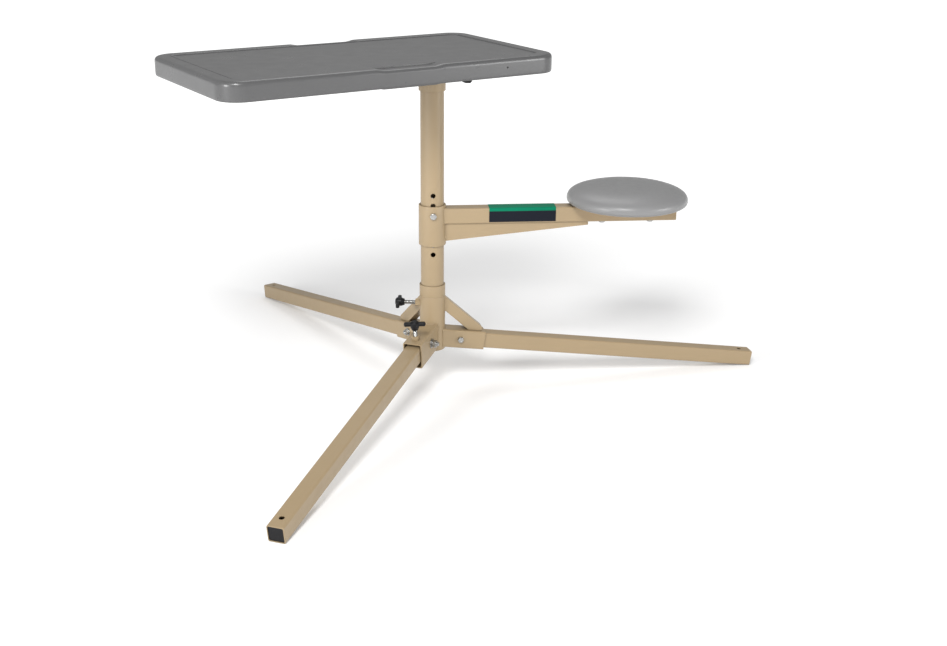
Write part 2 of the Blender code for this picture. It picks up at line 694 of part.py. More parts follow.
def make_seat(post_axis):
    seat = empty("seat_axis", post_axis, (SEAT_REACH, 0, 0))
    board_low = ARM_TOP + GAP
    board_high = board_low + BOARD_THICK
    board_profile = [
        (0, board_high),
        (BOARD_RADIUS - 0.002, board_high),
        (BOARD_RADIUS, board_high - 0.002),
        (BOARD_RADIUS, board_low),
        (0, board_low),
    ]
    board = place(turned("seat_board", board_profile, ROUND, False, "plywood"), seat)

    cushion_profile = [(0, SEAT_TOP)]
    steps = 7
    crown = SEAT_TOP - SEAT_WIDEST
    for i in range(1, steps + 1):
        angle = math.pi / 2 * i / steps
        reach = SEAT_RADIUS * math.sin(angle) ** 0.72
        rise = crown * max(math.cos(angle), 0.0) ** 0.66
        cushion_profile.append((reach, SEAT_WIDEST + rise))
    cushion_profile += [
        (SEAT_RADIUS - 0.0015, SEAT_WIDEST - 0.005),
        (SEAT_RADIUS - 0.008, SEAT_UNDER),
        (BOARD_RADIUS + GAP, SEAT_UNDER),
        (BOARD_RADIUS + GAP, board_high + GAP),
        (0, board_high + GAP),
    ]
    place(turned("seat_cushion", cushion_profile, ROUND, False, "grey_vinyl"), seat)

    bolt_start = ARM_TOP - LEG - GAP
    length = board_high - 0.002 - bolt_start
    for name, side in (("inner", -1), ("outer", 1)):
        spot = (side * SEAT_BOLT_SPREAD, 0, bolt_start)
        hole = rod(name + "_board_hole", BOLT_RADIUS + GAP, 0.45, board_high - 0.0015, "Z", "zinc", True)
        place(hole, seat, (spot[0], 0, 0))
        cut(board, hole)
        hex_bolt("seat_bolt_" + name, BOLT_RADIUS, BOLT_FLATS, length, seat, spot)


# ---- table ----------------------------------------------------------------------------

def table_outline(inset, corner):
    length = TABLE_FAR - TABLE_NEAR - 2 * inset
    width = 2 * (TABLE_HALF_WIDTH - inset)
    centre = ((TABLE_FAR + TABLE_NEAR) / 2, 0)
    return rounded_rectangle(length, width, corner, 8, centre)


def make_tabletop(table):
    shell = prism("table_top_shell", [table_outline(0, TABLE_CORNER)], TABLE_BOTTOM, TABLE_TOP, "Z",
                  "grey_polymer")
    place(shell, table)
    bevel = shell.modifiers.new("soft edge", "BEVEL")
    bevel.width = 0.007
    bevel.segments = 3
    bevel.limit_method = "ANGLE"
    bevel.angle_limit = math.radians(60)
    inside = prism("table_inside", [table_outline(TABLE_SKIN, TABLE_CORNER - TABLE_SKIN)],
                   TABLE_BOTTOM - 0.01, TABLE_TOP - FIELD_DEPTH - TABLE_SKIN, "Z", "zinc", True)
    place(inside, table)
    cut(shell, inside)
    field = prism("table_field", [table_outline(RIM_WIDTH, 0.02)], TABLE_TOP - FIELD_DEPTH, TABLE_TOP + 0.01,
                  "Z", "zinc", True)
    place(field, table)
    cut(shell, field)

    pan_low = TABLE_BOTTOM + PAN_RECESS
    pan_high = TABLE_TOP - FIELD_DEPTH - TABLE_SKIN - GAP
    pan_inset = TABLE_SKIN + GAP
    pan = prism("table_bottom_shell", [table_outline(pan_inset, TABLE_CORNER - pan_inset)],
                pan_low, pan_high, "Z", "grey_polymer")
    place(pan, table)
    tray_inset = pan_inset + TABLE_SKIN
    tray = prism("table_tray", [table_outline(tray_inset, TABLE_CORNER - tray_inset)],
                 pan_low + TABLE_SKIN, pan_high + 0.01, "Z", "zinc", True)
    place(tray, table)
    cut(pan, tray)
    return pan, pan_low


def make_table_mount(table, pan, pan_low):
    plate_high = pan_low - GAP
    plate_low = plate_high - TABLE_PLATE_THICK
    outline = rounded_rectangle(TABLE_PLATE, TABLE_PLATE, 0.012)
    plate = prism("table_plate", [outline], plate_low, plate_high, "Z")
    place(plate, table)
    sleeve = ring("table_sleeve", SLEEVE_RADIUS, SLEEVE_BORE, SLEEVE_BOTTOM, plate_low - GAP)
    place(sleeve, table)
    lock_turn = TABLE_LOCK_AZIMUTH - TABLE_AZIMUTH
    hole = rod("table_lock_hole", STUD_RADIUS + GAP, 0, 2 * SLEEVE_RADIUS, "X", "zinc", True)
    place(hole, table, (0, 0, TABLE_LOCK_HEIGHT), (0, 0, lock_turn))
    cut(sleeve, hole)
    make_side_screw("table_lock", table, SLEEVE_RADIUS, POST_RADIUS, TABLE_LOCK_HEIGHT, lock_turn, LOCK_TURN)

    number = 0
    for sx in (-1, 1):
        for sy in (-1, 1):
            number += 1
            spot = (sx * TABLE_BOLT_SPREAD, sy * TABLE_BOLT_SPREAD)
            hole = rod("table_bolt_hole_%d" % number, BOLT_RADIUS + GAP, plate_low - 0.01, pan_low + 0.008,
                       "Z", "zinc", True, 16)
            place(hole, table, (*spot, 0))
            cut(plate, hole)
            cut(pan, hole)
            hex_bolt("table_bolt_%d" % number, BOLT_RADIUS, BOLT_FLATS, 0.016, table,
                     (*spot, plate_low - GAP))


# ---- assembly -------------------------------------------------------------------------

def build():
    post_axis = empty("post_axis", None, (*POST_AXIS, 0))
    floor_height = make_base(post_axis)
    tube_cutter = base_cutter("base_cope", post_axis)
    for side in ("right", "rear"):
        direction = make_fixed_leg(side, post_axis, tube_cutter)
        make_brace(side, direction, tube_cutter)
    socket, socket_frame = make_front_leg(post_axis, tube_cutter)
    make_levelling_screw(socket, socket_frame)
    make_side_screw("lock", post_axis, BASE_RADIUS, POST_RADIUS, LOCK_HEIGHT, LOCK_AZIMUTH, LOCK_TURN)

    make_post(post_axis, floor_height)
    make_collar(post_axis)
    make_arm(post_axis)
    make_label(post_axis)
    make_seat(post_axis)

    table = empty("table_axis", post_axis, (0, 0, 0), (0, 0, TABLE_AZIMUTH))
    pan, pan_low = make_tabletop(table)
    make_table_mount(table, pan, pan_low)


build()
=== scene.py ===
"""Looks of the swivel field bench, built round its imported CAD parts.

Metres, +Z up, +X along the seat arm.
"""
import json
import math

import bmesh
import bpy
import numpy as np
from mathutils import Matrix, Vector, noise


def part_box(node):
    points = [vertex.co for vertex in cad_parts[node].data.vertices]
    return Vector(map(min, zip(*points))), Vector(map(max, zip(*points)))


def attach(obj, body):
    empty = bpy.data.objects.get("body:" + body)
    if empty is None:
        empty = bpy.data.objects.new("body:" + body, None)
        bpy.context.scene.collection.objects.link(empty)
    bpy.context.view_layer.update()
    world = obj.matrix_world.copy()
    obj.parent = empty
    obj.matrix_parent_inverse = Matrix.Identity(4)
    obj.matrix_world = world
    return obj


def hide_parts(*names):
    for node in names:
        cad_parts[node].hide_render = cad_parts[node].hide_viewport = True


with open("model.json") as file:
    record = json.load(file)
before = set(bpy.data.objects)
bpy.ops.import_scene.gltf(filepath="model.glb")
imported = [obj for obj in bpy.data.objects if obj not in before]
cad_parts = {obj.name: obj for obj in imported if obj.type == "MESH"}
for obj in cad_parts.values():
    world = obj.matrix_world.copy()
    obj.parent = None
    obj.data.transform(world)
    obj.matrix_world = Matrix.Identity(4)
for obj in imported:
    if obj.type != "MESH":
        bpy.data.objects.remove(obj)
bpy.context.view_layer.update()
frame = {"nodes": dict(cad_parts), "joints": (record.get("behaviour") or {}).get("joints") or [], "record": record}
NODES = frame["nodes"]
JOINTS = {joint["name"]: joint for joint in frame["joints"]}
BODIES = frame["record"]["behaviour"]["bodies"]
BODY_OF = {node: body for body, nodes in BODIES.items() for node in nodes}
SLOT_OF = {part["node"]: part["material_slot"] for part in frame["record"]["subparts"]}
POST = Vector(JOINTS["swivel"]["pos_m"])
POST.z = 0.0

ROUND_SIDES = 96
SMALL_SIDES = 48
THREAD_PITCH = 0.0015
THREAD_DEPTH = 0.0007
THREAD_STEPS = 6            # rings in one pitch


# ---- camera, floor and light ----------------------------------------------------------

CAMERA_PLACE = (-0.3179, -2.9427, 1.2555)
CAMERA_HEADING = math.radians(-5.867)
CAMERA_PITCH = math.radians(20.162)
CAMERA_ROLL = math.radians(0.581)
CAMERA_LENS = 49.05         # mm on a 36 mm sensor


def make_camera():
    data = bpy.data.cameras.new("camera")
    data.lens = CAMERA_LENS
    data.sensor_width = 36
    data.clip_end = 50
    camera = bpy.data.objects.new("camera", data)
    heading = Matrix.Rotation(CAMERA_HEADING, 4, "Z")
    pitch = Matrix.Rotation(math.pi / 2 - CAMERA_PITCH, 4, "X")
    roll = Matrix.Rotation(CAMERA_ROLL, 4, "Z")
    camera.matrix_world = Matrix.Translation(CAMERA_PLACE) @ heading @ pitch @ roll
    bpy.context.scene.collection.objects.link(camera)
    bpy.context.scene.camera = camera


def area_light(name, place, target, size, power):
    data = bpy.data.lights.new(name, "AREA")
    data.size = size
    data.energy = power
    light = bpy.data.objects.new(name, data)
    way = Vector(target) - Vector(place)
    light.rotation_euler = way.to_track_quat("-Z", "Y").to_euler()
    light.location = place
    bpy.context.scene.collection.objects.link(light)


WORLD_STRENGTH = 0.42
LIGHT_TARGET = (0.0, 0.0, 0.45)
LIGHTS = (                  # name, place, size, power in W
    ("key", (-0.9, -3.3, 3.4), 1.2, 150),
    ("left", (-3.1, -2.5, 1.3), 0.7, 75),
    ("right", (3.6, -1.7, 1.1), 1.0, 55),
    ("back", (0.2, 2.4, 3.8), 2.0, 30),
)
FLOOR_SIZE = 60
FLOOR_WHITE = 0.86
FLOOR_GLOW = {              # emission against distance from the origin
    "From Min": 0.9, "From Max": 4.0, "To Min": 0.12, "To Max": 0.75,
}


def make_studio():
    """White surroundings. The floor glows more with distance, so that it fades into white."""
    bpy.context.scene.view_settings.view_transform = "Standard"
    world = bpy.data.worlds.new("studio")
    bpy.context.scene.world = world
    world.use_nodes = True
    background = world.node_tree.nodes["Background"]
    background.inputs["Color"].default_value = (1.0, 1.0, 1.0, 1.0)
    background.inputs["Strength"].default_value = WORLD_STRENGTH
    for name, place, size, power in LIGHTS:
        area_light(name, place, LIGHT_TARGET, size, power)

    bpy.ops.mesh.primitive_plane_add(size=FLOOR_SIZE, location=(0, 0, 0))
    floor = bpy.context.object
    floor.name = "floor"
    material = bpy.data.materials.new("floor_white")
    material.use_nodes = True
    nodes = material.node_tree.nodes
    shader = nodes["Principled BSDF"]
    shader.inputs["Base Color"].default_value = (FLOOR_WHITE, FLOOR_WHITE, FLOOR_WHITE, 1)
    shader.inputs["Emission Color"].default_value = (1, 1, 1, 1)
    place = nodes.new("ShaderNodeTexCoord")
    distance = nodes.new("ShaderNodeVectorMath")
    distance.operation = "LENGTH"
    rise = nodes.new("ShaderNodeMapRange")
    for socket, value in FLOOR_GLOW.items():
        rise.inputs[socket].default_value = value
    links = material.node_tree.links
    links.new(place.outputs["Object"], distance.inputs[0])
    links.new(distance.outputs["Value"], rise.inputs["Value"])
    links.new(rise.outputs["Result"], shader.inputs["Emission Strength"])
    shader.inputs["Roughness"].default_value = 0.9
    shader.inputs["Specular IOR Level"].default_value = 0.1
    floor.data.materials.append(material)


# ---- materials ------------------------------------------------------------------------

class Surface:
    """A Principled material whose colour, roughness and bump vary over the piece's own space."""

    def __init__(self, name, colour, roughness, metallic=0.0):
        self.material = bpy.data.materials.new(name)
        self.material.use_nodes = True
        self.tree = self.material.node_tree
        self.shader = self.tree.nodes["Principled BSDF"]
        self.shader.inputs["Metallic"].default_value = metallic
        self.shader.inputs["Roughness"].default_value = roughness
        self.shader.inputs["Base Color"].default_value = (*colour, 1.0)
        self.colour = colour
        self.place = self.node("ShaderNodeTexCoord").outputs["Object"]
        self.normal = None

    def node(self, kind, **values):
        node = self.tree.nodes.new(kind)
        for key, value in values.items():
            setattr(node, key, value)
        return node

    def link(self, source, target):
        self.tree.links.new(source, target)

    def noise(self, scale, detail=2.0, rough=0.5, stretch=None):
        texture = self.node("ShaderNodeTexNoise")
        texture.inputs["Scale"].default_value = scale
        texture.inputs["Detail"].default_value = detail
        texture.inputs["Roughness"].default_value = rough
        place = self.place
        if stretch:
            mapping = self.node("ShaderNodeMapping")
            mapping.inputs["Scale"].default_value = stretch
            self.link(self.place, mapping.inputs["Vector"])
            place = mapping.outputs["Vector"]
        self.link(place, texture.inputs["Vector"])
        return texture.outputs["Fac"]

    def ramp(self, value, low, high, start, end):
        """Maps a value between low and high to between start and end."""
        scale = self.node("ShaderNodeMapRange")
        scale.inputs["From Min"].default_value = low
        scale.inputs["From Max"].default_value = high
        scale.inputs["To Min"].default_value = start
        scale.inputs["To Max"].default_value = end
        self.link(value, scale.inputs["Value"])
        return scale.outputs["Result"]

    def tint(self, value, darker, lighter):
        """The colour times a factor that follows the value."""
        blend = self.node("ShaderNodeMix", data_type="RGBA")
        blend.inputs["A"].default_value = (*[c * darker for c in self.colour], 1.0)
        blend.inputs["B"].default_value = (*[min(c * lighter, 1.0) for c in self.colour], 1.0)
        self.link(value, blend.inputs["Factor"])
        return blend.outputs["Result"]

    def mix(self, value, first, second):
        """Blends two colours, each a socket or three numbers."""
        blend = self.node("ShaderNodeMix", data_type="RGBA")
        for source, socket in ((first, blend.inputs["A"]), (second, blend.inputs["B"])):
            if isinstance(source, tuple):
                socket.default_value = (*source, 1.0)
            else:
                self.link(source, socket)
        self.link(value, blend.inputs["Factor"])
        return blend.outputs["Result"]

    def bump(self, value, height, strength=1.0):
        bump = self.node("ShaderNodeBump")
        bump.inputs["Distance"].default_value = height
        bump.inputs["Strength"].default_value = strength
        self.link(value, bump.inputs["Height"])
        if self.normal is not None:
            self.link(self.normal, bump.inputs["Normal"])
        self.normal = bump.outputs["Normal"]
        self.link(self.normal, self.shader.inputs["Normal"])

    def paint(self, colour):
        self.link(colour, self.shader.inputs["Base Color"])

    def rough(self, value):
        self.link(value, self.shader.inputs["Roughness"])

    def hollows(self, distance):
        """Near 0 in corners and joints, 1 in the open."""
        occlusion = self.node("ShaderNodeAmbientOcclusion")
        occlusion.samples = 6
        occlusion.inputs["Distance"].default_value = distance
        return occlusion.outputs["AO"]


TAN = (0.305, 0.226, 0.130)
ZINC = (0.42, 0.42, 0.41)
BLACK = (0.006, 0.006, 0.007)
POLYMER = (0.074, 0.074, 0.075)
VINYL = (0.195, 0.195, 0.196)
NYLON = (0.75, 0.74, 0.70)
WOOD = (0.50, 0.34, 0.19)


def powder_coat():
    """Semi-gloss tan paint with fine orange peel, and painted shade that darkens its corners and joints."""
    paint = Surface("tan_powder_coat", TAN, 0.42)
    paint.shader.inputs["Coat Weight"].default_value = 0.12
    paint.shader.inputs["Coat Roughness"].default_value = 0.25
    broad = paint.tint(paint.noise(9.0, 3.0), 0.965, 1.035)
    # painted shade: ambient occlusion darkens the paint to 72 % of its colour in corners, joints and along welds
    painted_shade_colour = tuple(c * 0.72 for c in TAN)
    edge = paint.ramp(paint.hollows(0.012), 0.25, 0.85, 0.0, 1.0)
    paint.paint(paint.mix(edge, painted_shade_colour, broad))
    paint.rough(paint.ramp(paint.noise(45.0, 3.0), 0.3, 0.7, 0.37, 0.47))
    paint.bump(paint.noise(620.0, 1.5), 0.00012, 0.55)
    return paint.material


def zinc_plate():
    metal = Surface("zinc_plate", ZINC, 0.3, 1.0)
    metal.paint(metal.tint(metal.noise(160.0, 4.0), 0.78, 1.1))
    metal.rough(metal.ramp(metal.noise(420.0, 3.0), 0.3, 0.7, 0.22, 0.42))
    metal.bump(metal.noise(900.0, 2.0), 0.00005, 0.4)
    return metal.material


def black_plastic():
    plastic = Surface("black_moulded_plastic", BLACK, 0.42)
    plastic.shader.inputs["Specular IOR Level"].default_value = 0.22
    plastic.paint(plastic.tint(plastic.noise(60.0, 3.0), 0.8, 1.5))
    plastic.rough(plastic.ramp(plastic.noise(200.0, 2.0), 0.3, 0.7, 0.36, 0.5))
    plastic.bump(plastic.noise(1500.0, 2.0), 0.00006, 0.5)
    return plastic.material


def grey_polymer():
    """Blow-moulded polymer with a fine grain, faint flow marks and slightly uneven flats."""
    plastic = Surface("grey_moulded_polymer", POLYMER, 0.5)
    plastic.shader.inputs["Specular IOR Level"].default_value = 0.5
    flow = plastic.noise(3.5, 4.0, 0.55, (1.0, 2.6, 1.0))
    plastic.paint(plastic.tint(flow, 0.97, 1.03))
    plastic.rough(plastic.ramp(plastic.noise(24.0, 4.0), 0.3, 0.7, 0.27, 0.33))
    plastic.bump(plastic.noise(480.0, 2.0), 0.00010, 0.12)
    plastic.bump(plastic.noise(5.0, 1.0), 0.0006, 0.08)
    return plastic.material


def grey_vinyl():
    """Coated fabric with a fine leather grain."""
    vinyl = Surface("grey_vinyl", VINYL, 0.36)
    vinyl.paint(vinyl.tint(vinyl.noise(14.0, 4.0), 0.96, 1.04))
    vinyl.rough(vinyl.ramp(vinyl.noise(60.0, 3.0), 0.3, 0.7, 0.30, 0.38))
    grain = vinyl.node("ShaderNodeTexVoronoi", feature="DISTANCE_TO_EDGE")
    grain.inputs["Scale"].default_value = 620.0
    vinyl.link(vinyl.place, grain.inputs["Vector"])
    crease = vinyl.ramp(grain.outputs["Distance"], 0.0, 0.22, 0.0, 1.0)
    vinyl.bump(crease, 0.00012, 0.4)
    vinyl.bump(vinyl.noise(260.0, 3.0), 0.00012, 0.3)
    return vinyl.material


def white_nylon():
    nylon = Surface("nylon", NYLON, 0.45)
    nylon.paint(nylon.tint(nylon.noise(30.0, 3.0), 0.95, 1.03))
    nylon.bump(nylon.noise(700.0, 2.0), 0.00006, 0.4)
    return nylon.material


def plywood():
    """Layers edge-on, with grain along each face."""
    wood = Surface("plywood", WOOD, 0.7)
    grain = wood.noise(30.0, 5.0, 0.6, (0.5, 9.0, 40.0))
    wood.paint(wood.tint(grain, 0.7, 1.2))
    wood.bump(grain, 0.0004, 0.5)
    return wood.material


LABEL_GREEN = (0.004, 0.16, 0.085)
LABEL_BLACK = (0.012, 0.014, 0.02)
LABEL_FOLD = 0.0085         # from the label's top down to where its side starts


def printed_label():
    """Blank film: green over the top, black down the side."""
    film = Surface("printed_label", LABEL_GREEN, 0.4)
    film.shader.inputs["Specular IOR Level"].default_value = 0.04
    split = film.node("ShaderNodeSeparateXYZ")
    film.link(film.place, split.inputs["Vector"])
    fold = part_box("arm_label")[1].z - LABEL_FOLD
    over = film.ramp(split.outputs["Z"], fold, fold + 0.0002, 0.0, 1.0)
    film.paint(film.mix(over, LABEL_BLACK, film.tint(film.noise(25.0, 2.0), 0.94, 1.06)))
    film.bump(film.noise(400.0, 2.0), 0.00004, 0.3)
    return film.material


MATERIALS = {
    "tan_paint": powder_coat(),
    "zinc": zinc_plate(),
    "black_plastic": black_plastic(),
    "grey_polymer": grey_polymer(),
    "grey_vinyl": grey_vinyl(),
    "nylon": white_nylon(),
    "plywood": plywood(),
    "label": printed_label(),
}


# ---- mesh helpers ---------------------------------------------------------------------

def add_piece(name, mesh, *nodes, slot=None, body=None, smooth_angle=32):
    """Puts a mesh in the scene, standing for the given CAD nodes."""
    piece = bpy.data.objects.new(name, mesh)
    bpy.context.scene.collection.objects.link(piece)
    slot = slot or SLOT_OF[nodes[0]]
    mesh.materials.clear()
    mesh.materials.append(MATERIALS[slot])
    mesh.shade_smooth()
    if smooth_angle:
        mesh.set_sharp_from_angle(angle=math.radians(smooth_angle))
    if nodes:
        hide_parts(*nodes)
    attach(piece, body or BODY_OF[nodes[0]])
    return piece


def cad_points(node):
    """A CAD node's corners, each once."""
    vertices = NODES[node].data.vertices
    flat = np.empty(len(vertices) * 3)
    vertices.foreach_get("co", flat)
    return np.unique(flat.reshape(-1, 3).round(6), axis=0)


def frame_matrix(x, y, z, origin):
    matrix = Matrix((x, y, z)).transposed().to_4x4()
    matrix.translation = origin
    return matrix


def axis_frame(node, direction=None):
    """Frame on the axis of a round or hexagonal piece, and its length.

    Z runs along the axis from the end where the piece is widest, X points at its widest corner.
    """
    cloud = cad_points(node)
    middle = cloud.mean(0)
    if direction is None:
        spread, ways = np.linalg.eigh(np.cov((cloud - middle).T))
        odd = 2 if spread[2] / spread[1] > spread[1] / spread[0] else 0
        direction = ways[:, odd]
    z = np.array(direction, float)
    z /= np.linalg.norm(z)
    heights = (cloud - middle) @ z
    outward = cloud - middle - np.outer(heights, z)
    widest = np.argmax(np.linalg.norm(outward, axis=1).round(5))
    if heights[widest] > (heights.min() + heights.max()) / 2:
        z, heights = -z, -heights
    x = Vector(outward[widest]).normalized()
    z_way = Vector(z)
    origin = Vector(middle + z * heights.min())
    length = float(heights.max() - heights.min())
    return frame_matrix(x, z_way.cross(x), z_way, origin), length


def tube_frame(node):
    """Frame at the middle of a straight tube with no roll, and the tube's half sizes.

    X runs along the tube, away from the post's foot.
    """
    cloud = cad_points(node)
    ways = np.linalg.eigh(np.cov((cloud - cloud.mean(0)).T))[1]
    x = Vector(ways[:, 2])
    if x.dot(Vector(cloud.mean(0)) - POST) < 0:
        x.negate()
    y = Vector((0, 0, 1)).cross(x).normalized()
    z = x.cross(y)
    turn = np.array((x, y, z))
    inside = cloud @ turn.T
    low, high = inside.min(0), inside.max(0)
    origin = Vector(turn.T @ ((low + high) / 2))
    return frame_matrix(x, y, z, origin), (high - low) / 2


def circle(radius, height, sides):
    step = 2 * math.pi / sides
    return [(radius * math.cos(i * step), radius * math.sin(i * step), height) for i in range(sides)]


def rounded_rectangle(half_x, half_y, radius, steps=8, divisions=(1, 1)):
    """Outline from its corner at +X +Y, counter-clockwise.

    divisions say into how many parts its straight runs are split, along X and along Y.
    """
    points = []
    for sx, sy, start in ((1, 1, 0), (-1, 1, 90), (-1, -1, 180), (1, -1, 270)):
        centre = (sx * (half_x - radius), sy * (half_y - radius))
        for i in range(steps + 1):
            angle = math.radians(start + 90 * i / steps)
            points.append((centre[0] + radius * math.cos(angle),
                           centre[1] + radius * math.sin(angle)))
        along_x = start in (0, 180)
        run = 2 * ((half_x if along_x else half_y) - radius)
        parts = divisions[0] if along_x else divisions[1]
        ahead = (-sx, 0) if along_x else (0, -sy)
        last = points[-1]
        for k in range(1, parts):
            points.append((last[0] + ahead[0] * run * k / parts,
                           last[1] + ahead[1] * run * k / parts))
    return points


def soften(points, reaches, steps=5, closed=True):
    """Rounds the corners of a polyline. Each corner's curve starts its own reach away from it."""
    result = []
    count = len(points)
    if isinstance(reaches, float):
        reaches = [reaches] * count
    for i, (point, reach) in enumerate(zip(points, reaches)):
        here = Vector(point)
        if reach == 0 or (not closed and i in (0, count - 1)):
            result.append(tuple(here))
            continue
        back = Vector(points[i - 1]) - here
        ahead = Vector(points[(i + 1) % count]) - here
        start = here + back.normalized() * min(reach, back.length * 0.49)
        end = here + ahead.normalized() * min(reach, ahead.length * 0.49)
        for k in range(steps + 1):
            t = k / steps
            result.append(tuple(start.lerp(here, t).lerp(here.lerp(end, t), t)))
    return result


def loft(name, rings, matrix=None, closed=False):
    """A mesh skinned over rings with equal counts. Its ends are filled, or joined if closed."""
    count = len(rings[0])
    faces = []
    for k in range(len(rings) - 1 + closed):
        a = k * count
        b = (k + 1) % len(rings) * count
        for i in range(count):
            j = (i + 1) % count
            faces.append((a + i, a + j, b + j, b + i))
    if not closed:
        faces.append(tuple(reversed(range(count))))
        faces.append(tuple(range((len(rings) - 1) * count, len(rings) * count)))
    mesh = bpy.data.meshes.new(name)
    mesh.from_pydata([point for ring in rings for point in ring], [], faces)
    shape = bmesh.new()
    shape.from_mesh(mesh)
    bmesh.ops.remove_doubles(shape, verts=shape.verts, dist=1e-7)
    bmesh.ops.dissolve_degenerate(shape, edges=shape.edges, dist=1e-7)
    if matrix is not None:
        shape.transform(matrix)
    shape.to_mesh(mesh)
    shape.free()
    return mesh


def turned(name, profile, matrix=None, sides=ROUND_SIDES, closed=False):
    """A profile of (radius, height) points turned about Z. It runs up its outer side."""
    return loft(name, [circle(radius, height, sides) for radius, height in profile], matrix, closed)


def boolean(mesh, cutter):
    """The first mesh cut by the second. Both are used up."""
    first = bpy.data.objects.new("first", mesh)
    second = bpy.data.objects.new("second", cutter)
    for obj in (first, second):
        bpy.context.scene.collection.objects.link(obj)
    modifier = first.modifiers.new("boolean", "BOOLEAN")
    modifier.operation = "DIFFERENCE"
    modifier.solver = "EXACT"
    modifier.object = second
    graph = bpy.context.evaluated_depsgraph_get()
    result = bpy.data.meshes.new_from_object(first.evaluated_get(graph))
    for obj in (first, second):
        bpy.data.objects.remove(obj)
    bpy.data.meshes.remove(mesh)
    bpy.data.meshes.remove(cutter)
    return result


def modified(mesh, *modifiers):
    """The mesh after modifiers, each given as (type, settings)."""
    obj = bpy.data.objects.new("work", mesh)
    bpy.context.scene.collection.objects.link(obj)
    for kind, settings in modifiers:
        modifier = obj.modifiers.new(kind.lower(), kind)
        for key, value in settings.items():
            setattr(modifier, key, value)
    graph = bpy.context.evaluated_depsgraph_get()
    result = bpy.data.meshes.new_from_object(obj.evaluated_get(graph))
    bpy.data.objects.remove(obj)
    bpy.data.meshes.remove(mesh)
    return result


def joined(meshes):
    """One mesh that holds several."""
    shape = bmesh.new()
    for mesh in meshes:
        shape.from_mesh(mesh)
        bpy.data.meshes.remove(mesh)
    whole = bpy.data.meshes.new("joined")
    shape.to_mesh(whole)
    shape.free()
    return whole


def clean_copy(node):
    """A CAD node's shape as flat polygons with no doubled corners."""
    shape = bmesh.new()
    shape.from_mesh(NODES[node].data)
    bmesh.ops.remove_doubles(shape, verts=shape.verts, dist=1e-6)
    bmesh.ops.dissolve_limit(shape, angle_limit=math.radians(0.4),
                             verts=shape.verts, edges=shape.edges)
    bmesh.ops.recalc_face_normals(shape, faces=shape.faces)
    shape.verts.index_update()
    corners = [vertex.co.copy() for vertex in shape.verts]
    faces = [[vertex.index for vertex in face.verts] for face in shape.faces]
    shape.free()
    mesh = bpy.data.meshes.new(node)
    mesh.from_pydata(corners, [], faces)
    return mesh


def edge_rounding(width, segments=2, angle=40):
    settings = {"width": width, "segments": segments, "limit_method": "ANGLE",
                "angle_limit": math.radians(angle), "use_clamp_overlap": True}
    return ("BEVEL", settings)


def weight_normals(piece, keep_sharp=False, weight=60):
    """Shades flats flat, and lets only the narrow faces between them turn the light."""
    normals = piece.modifiers.new("normals", "WEIGHTED_NORMAL")
    normals.keep_sharp = keep_sharp
    normals.weight = weight


def polished(node, name, width, segments=2):
    """A CAD node with its edges rounded."""
    mesh = modified(clean_copy(node), edge_rounding(width, segments))
    weight_normals(add_piece(name, mesh, node, smooth_angle=None))


# ---- welds ----------------------------------------------------------------------------

WELD_RADIUS = 0.0017
WELD_SPACING = 0.0007
WELD_RIPPLE = 0.0034        # length of one ripple
WELD_SIDES = 8


def meeting_loop(node, touches):
    """The outer outline where a node meets a surface: a closed run of corners."""
    shape = bmesh.new()
    shape.from_mesh(clean_copy(node))
    on = {vertex for vertex in shape.verts if touches(vertex.co)}
    neighbours = {}
    for edge in shape.edges:
        if not all(vertex in on for vertex in edge.verts):
            continue
        whole = [all(vertex in on for vertex in face.verts) for face in edge.link_faces]
        if whole.count(True) == 1:
            first, second = edge.verts
            neighbours.setdefault(first, []).append(second)
            neighbours.setdefault(second, []).append(first)
    best = []
    seen = set()
    for start in neighbours:
        if start in seen:
            continue
        loop = [start]
        seen.add(start)
        while True:
            ahead = [vertex for vertex in neighbours[loop[-1]] if vertex not in seen]
            if not ahead:
                break
            loop.append(ahead[0])
            seen.add(ahead[0])
        points = [vertex.co.copy() for vertex in loop]
        length = sum((b - a).length for a, b in zip(points, points[1:]))
        if length > sum((b - a).length for a, b in zip(best, best[1:])):
            best = points
    shape.free()
    return best


def even_loop(points, spacing):
    """The same closed run with its points a fixed distance apart, and slightly eased corners."""
    run = points + [points[0]]
    steps = [0.0]
    for a, b in zip(run, run[1:]):
        steps.append(steps[-1] + (b - a).length)
    count = max(12, round(steps[-1] / spacing))
    places = np.linspace(0, steps[-1], count, endpoint=False)
    flat = np.array([np.interp(places, steps, [p[k] for p in run]) for k in range(3)]).T
    for _ in range(3):
        flat = (np.roll(flat, 1, 0) + 2 * flat + np.roll(flat, -1, 0)) / 4
    return [Vector(p) for p in flat]


def bead(name, loop, body, radius=WELD_RADIUS):
    """A rippled weld bead along a closed loop."""
    path = even_loop(loop, WELD_SPACING)
    count = len(path)
    middle = sum(path, Vector()) / count
    ripples = max(1, round(count * WELD_SPACING / WELD_RIPPLE))
    turn = 2 * math.pi / WELD_SIDES
    rings = []
    for i, point in enumerate(path):
        along = (path[(i + 1) % count] - path[i - 1]).normalized()
        out = point - middle
        out = (out - along * out.dot(along)).normalized()
        up = along.cross(out)
        size = radius * (1 + 0.10 * math.cos(2 * math.pi * ripples * i / count))
        size *= 1 + 0.10 * noise.noise(point * 90)
        rings.append([tuple(point + (out * math.cos(k * turn) + up * math.sin(k * turn)) * size)
                      for k in range(WELD_SIDES)])
    mesh = loft(name, rings, closed=True)
    mesh.update()
    add_piece(name, mesh, slot="tan_paint", body=body, smooth_angle=None)


def on_post_cylinder(radius):
    """Test for a corner that lies on a cylinder about the post's axis."""
    def touches(point):
        return abs(math.hypot(point.x - POST.x, point.y - POST.y) - radius) < 0.00025
    return touches


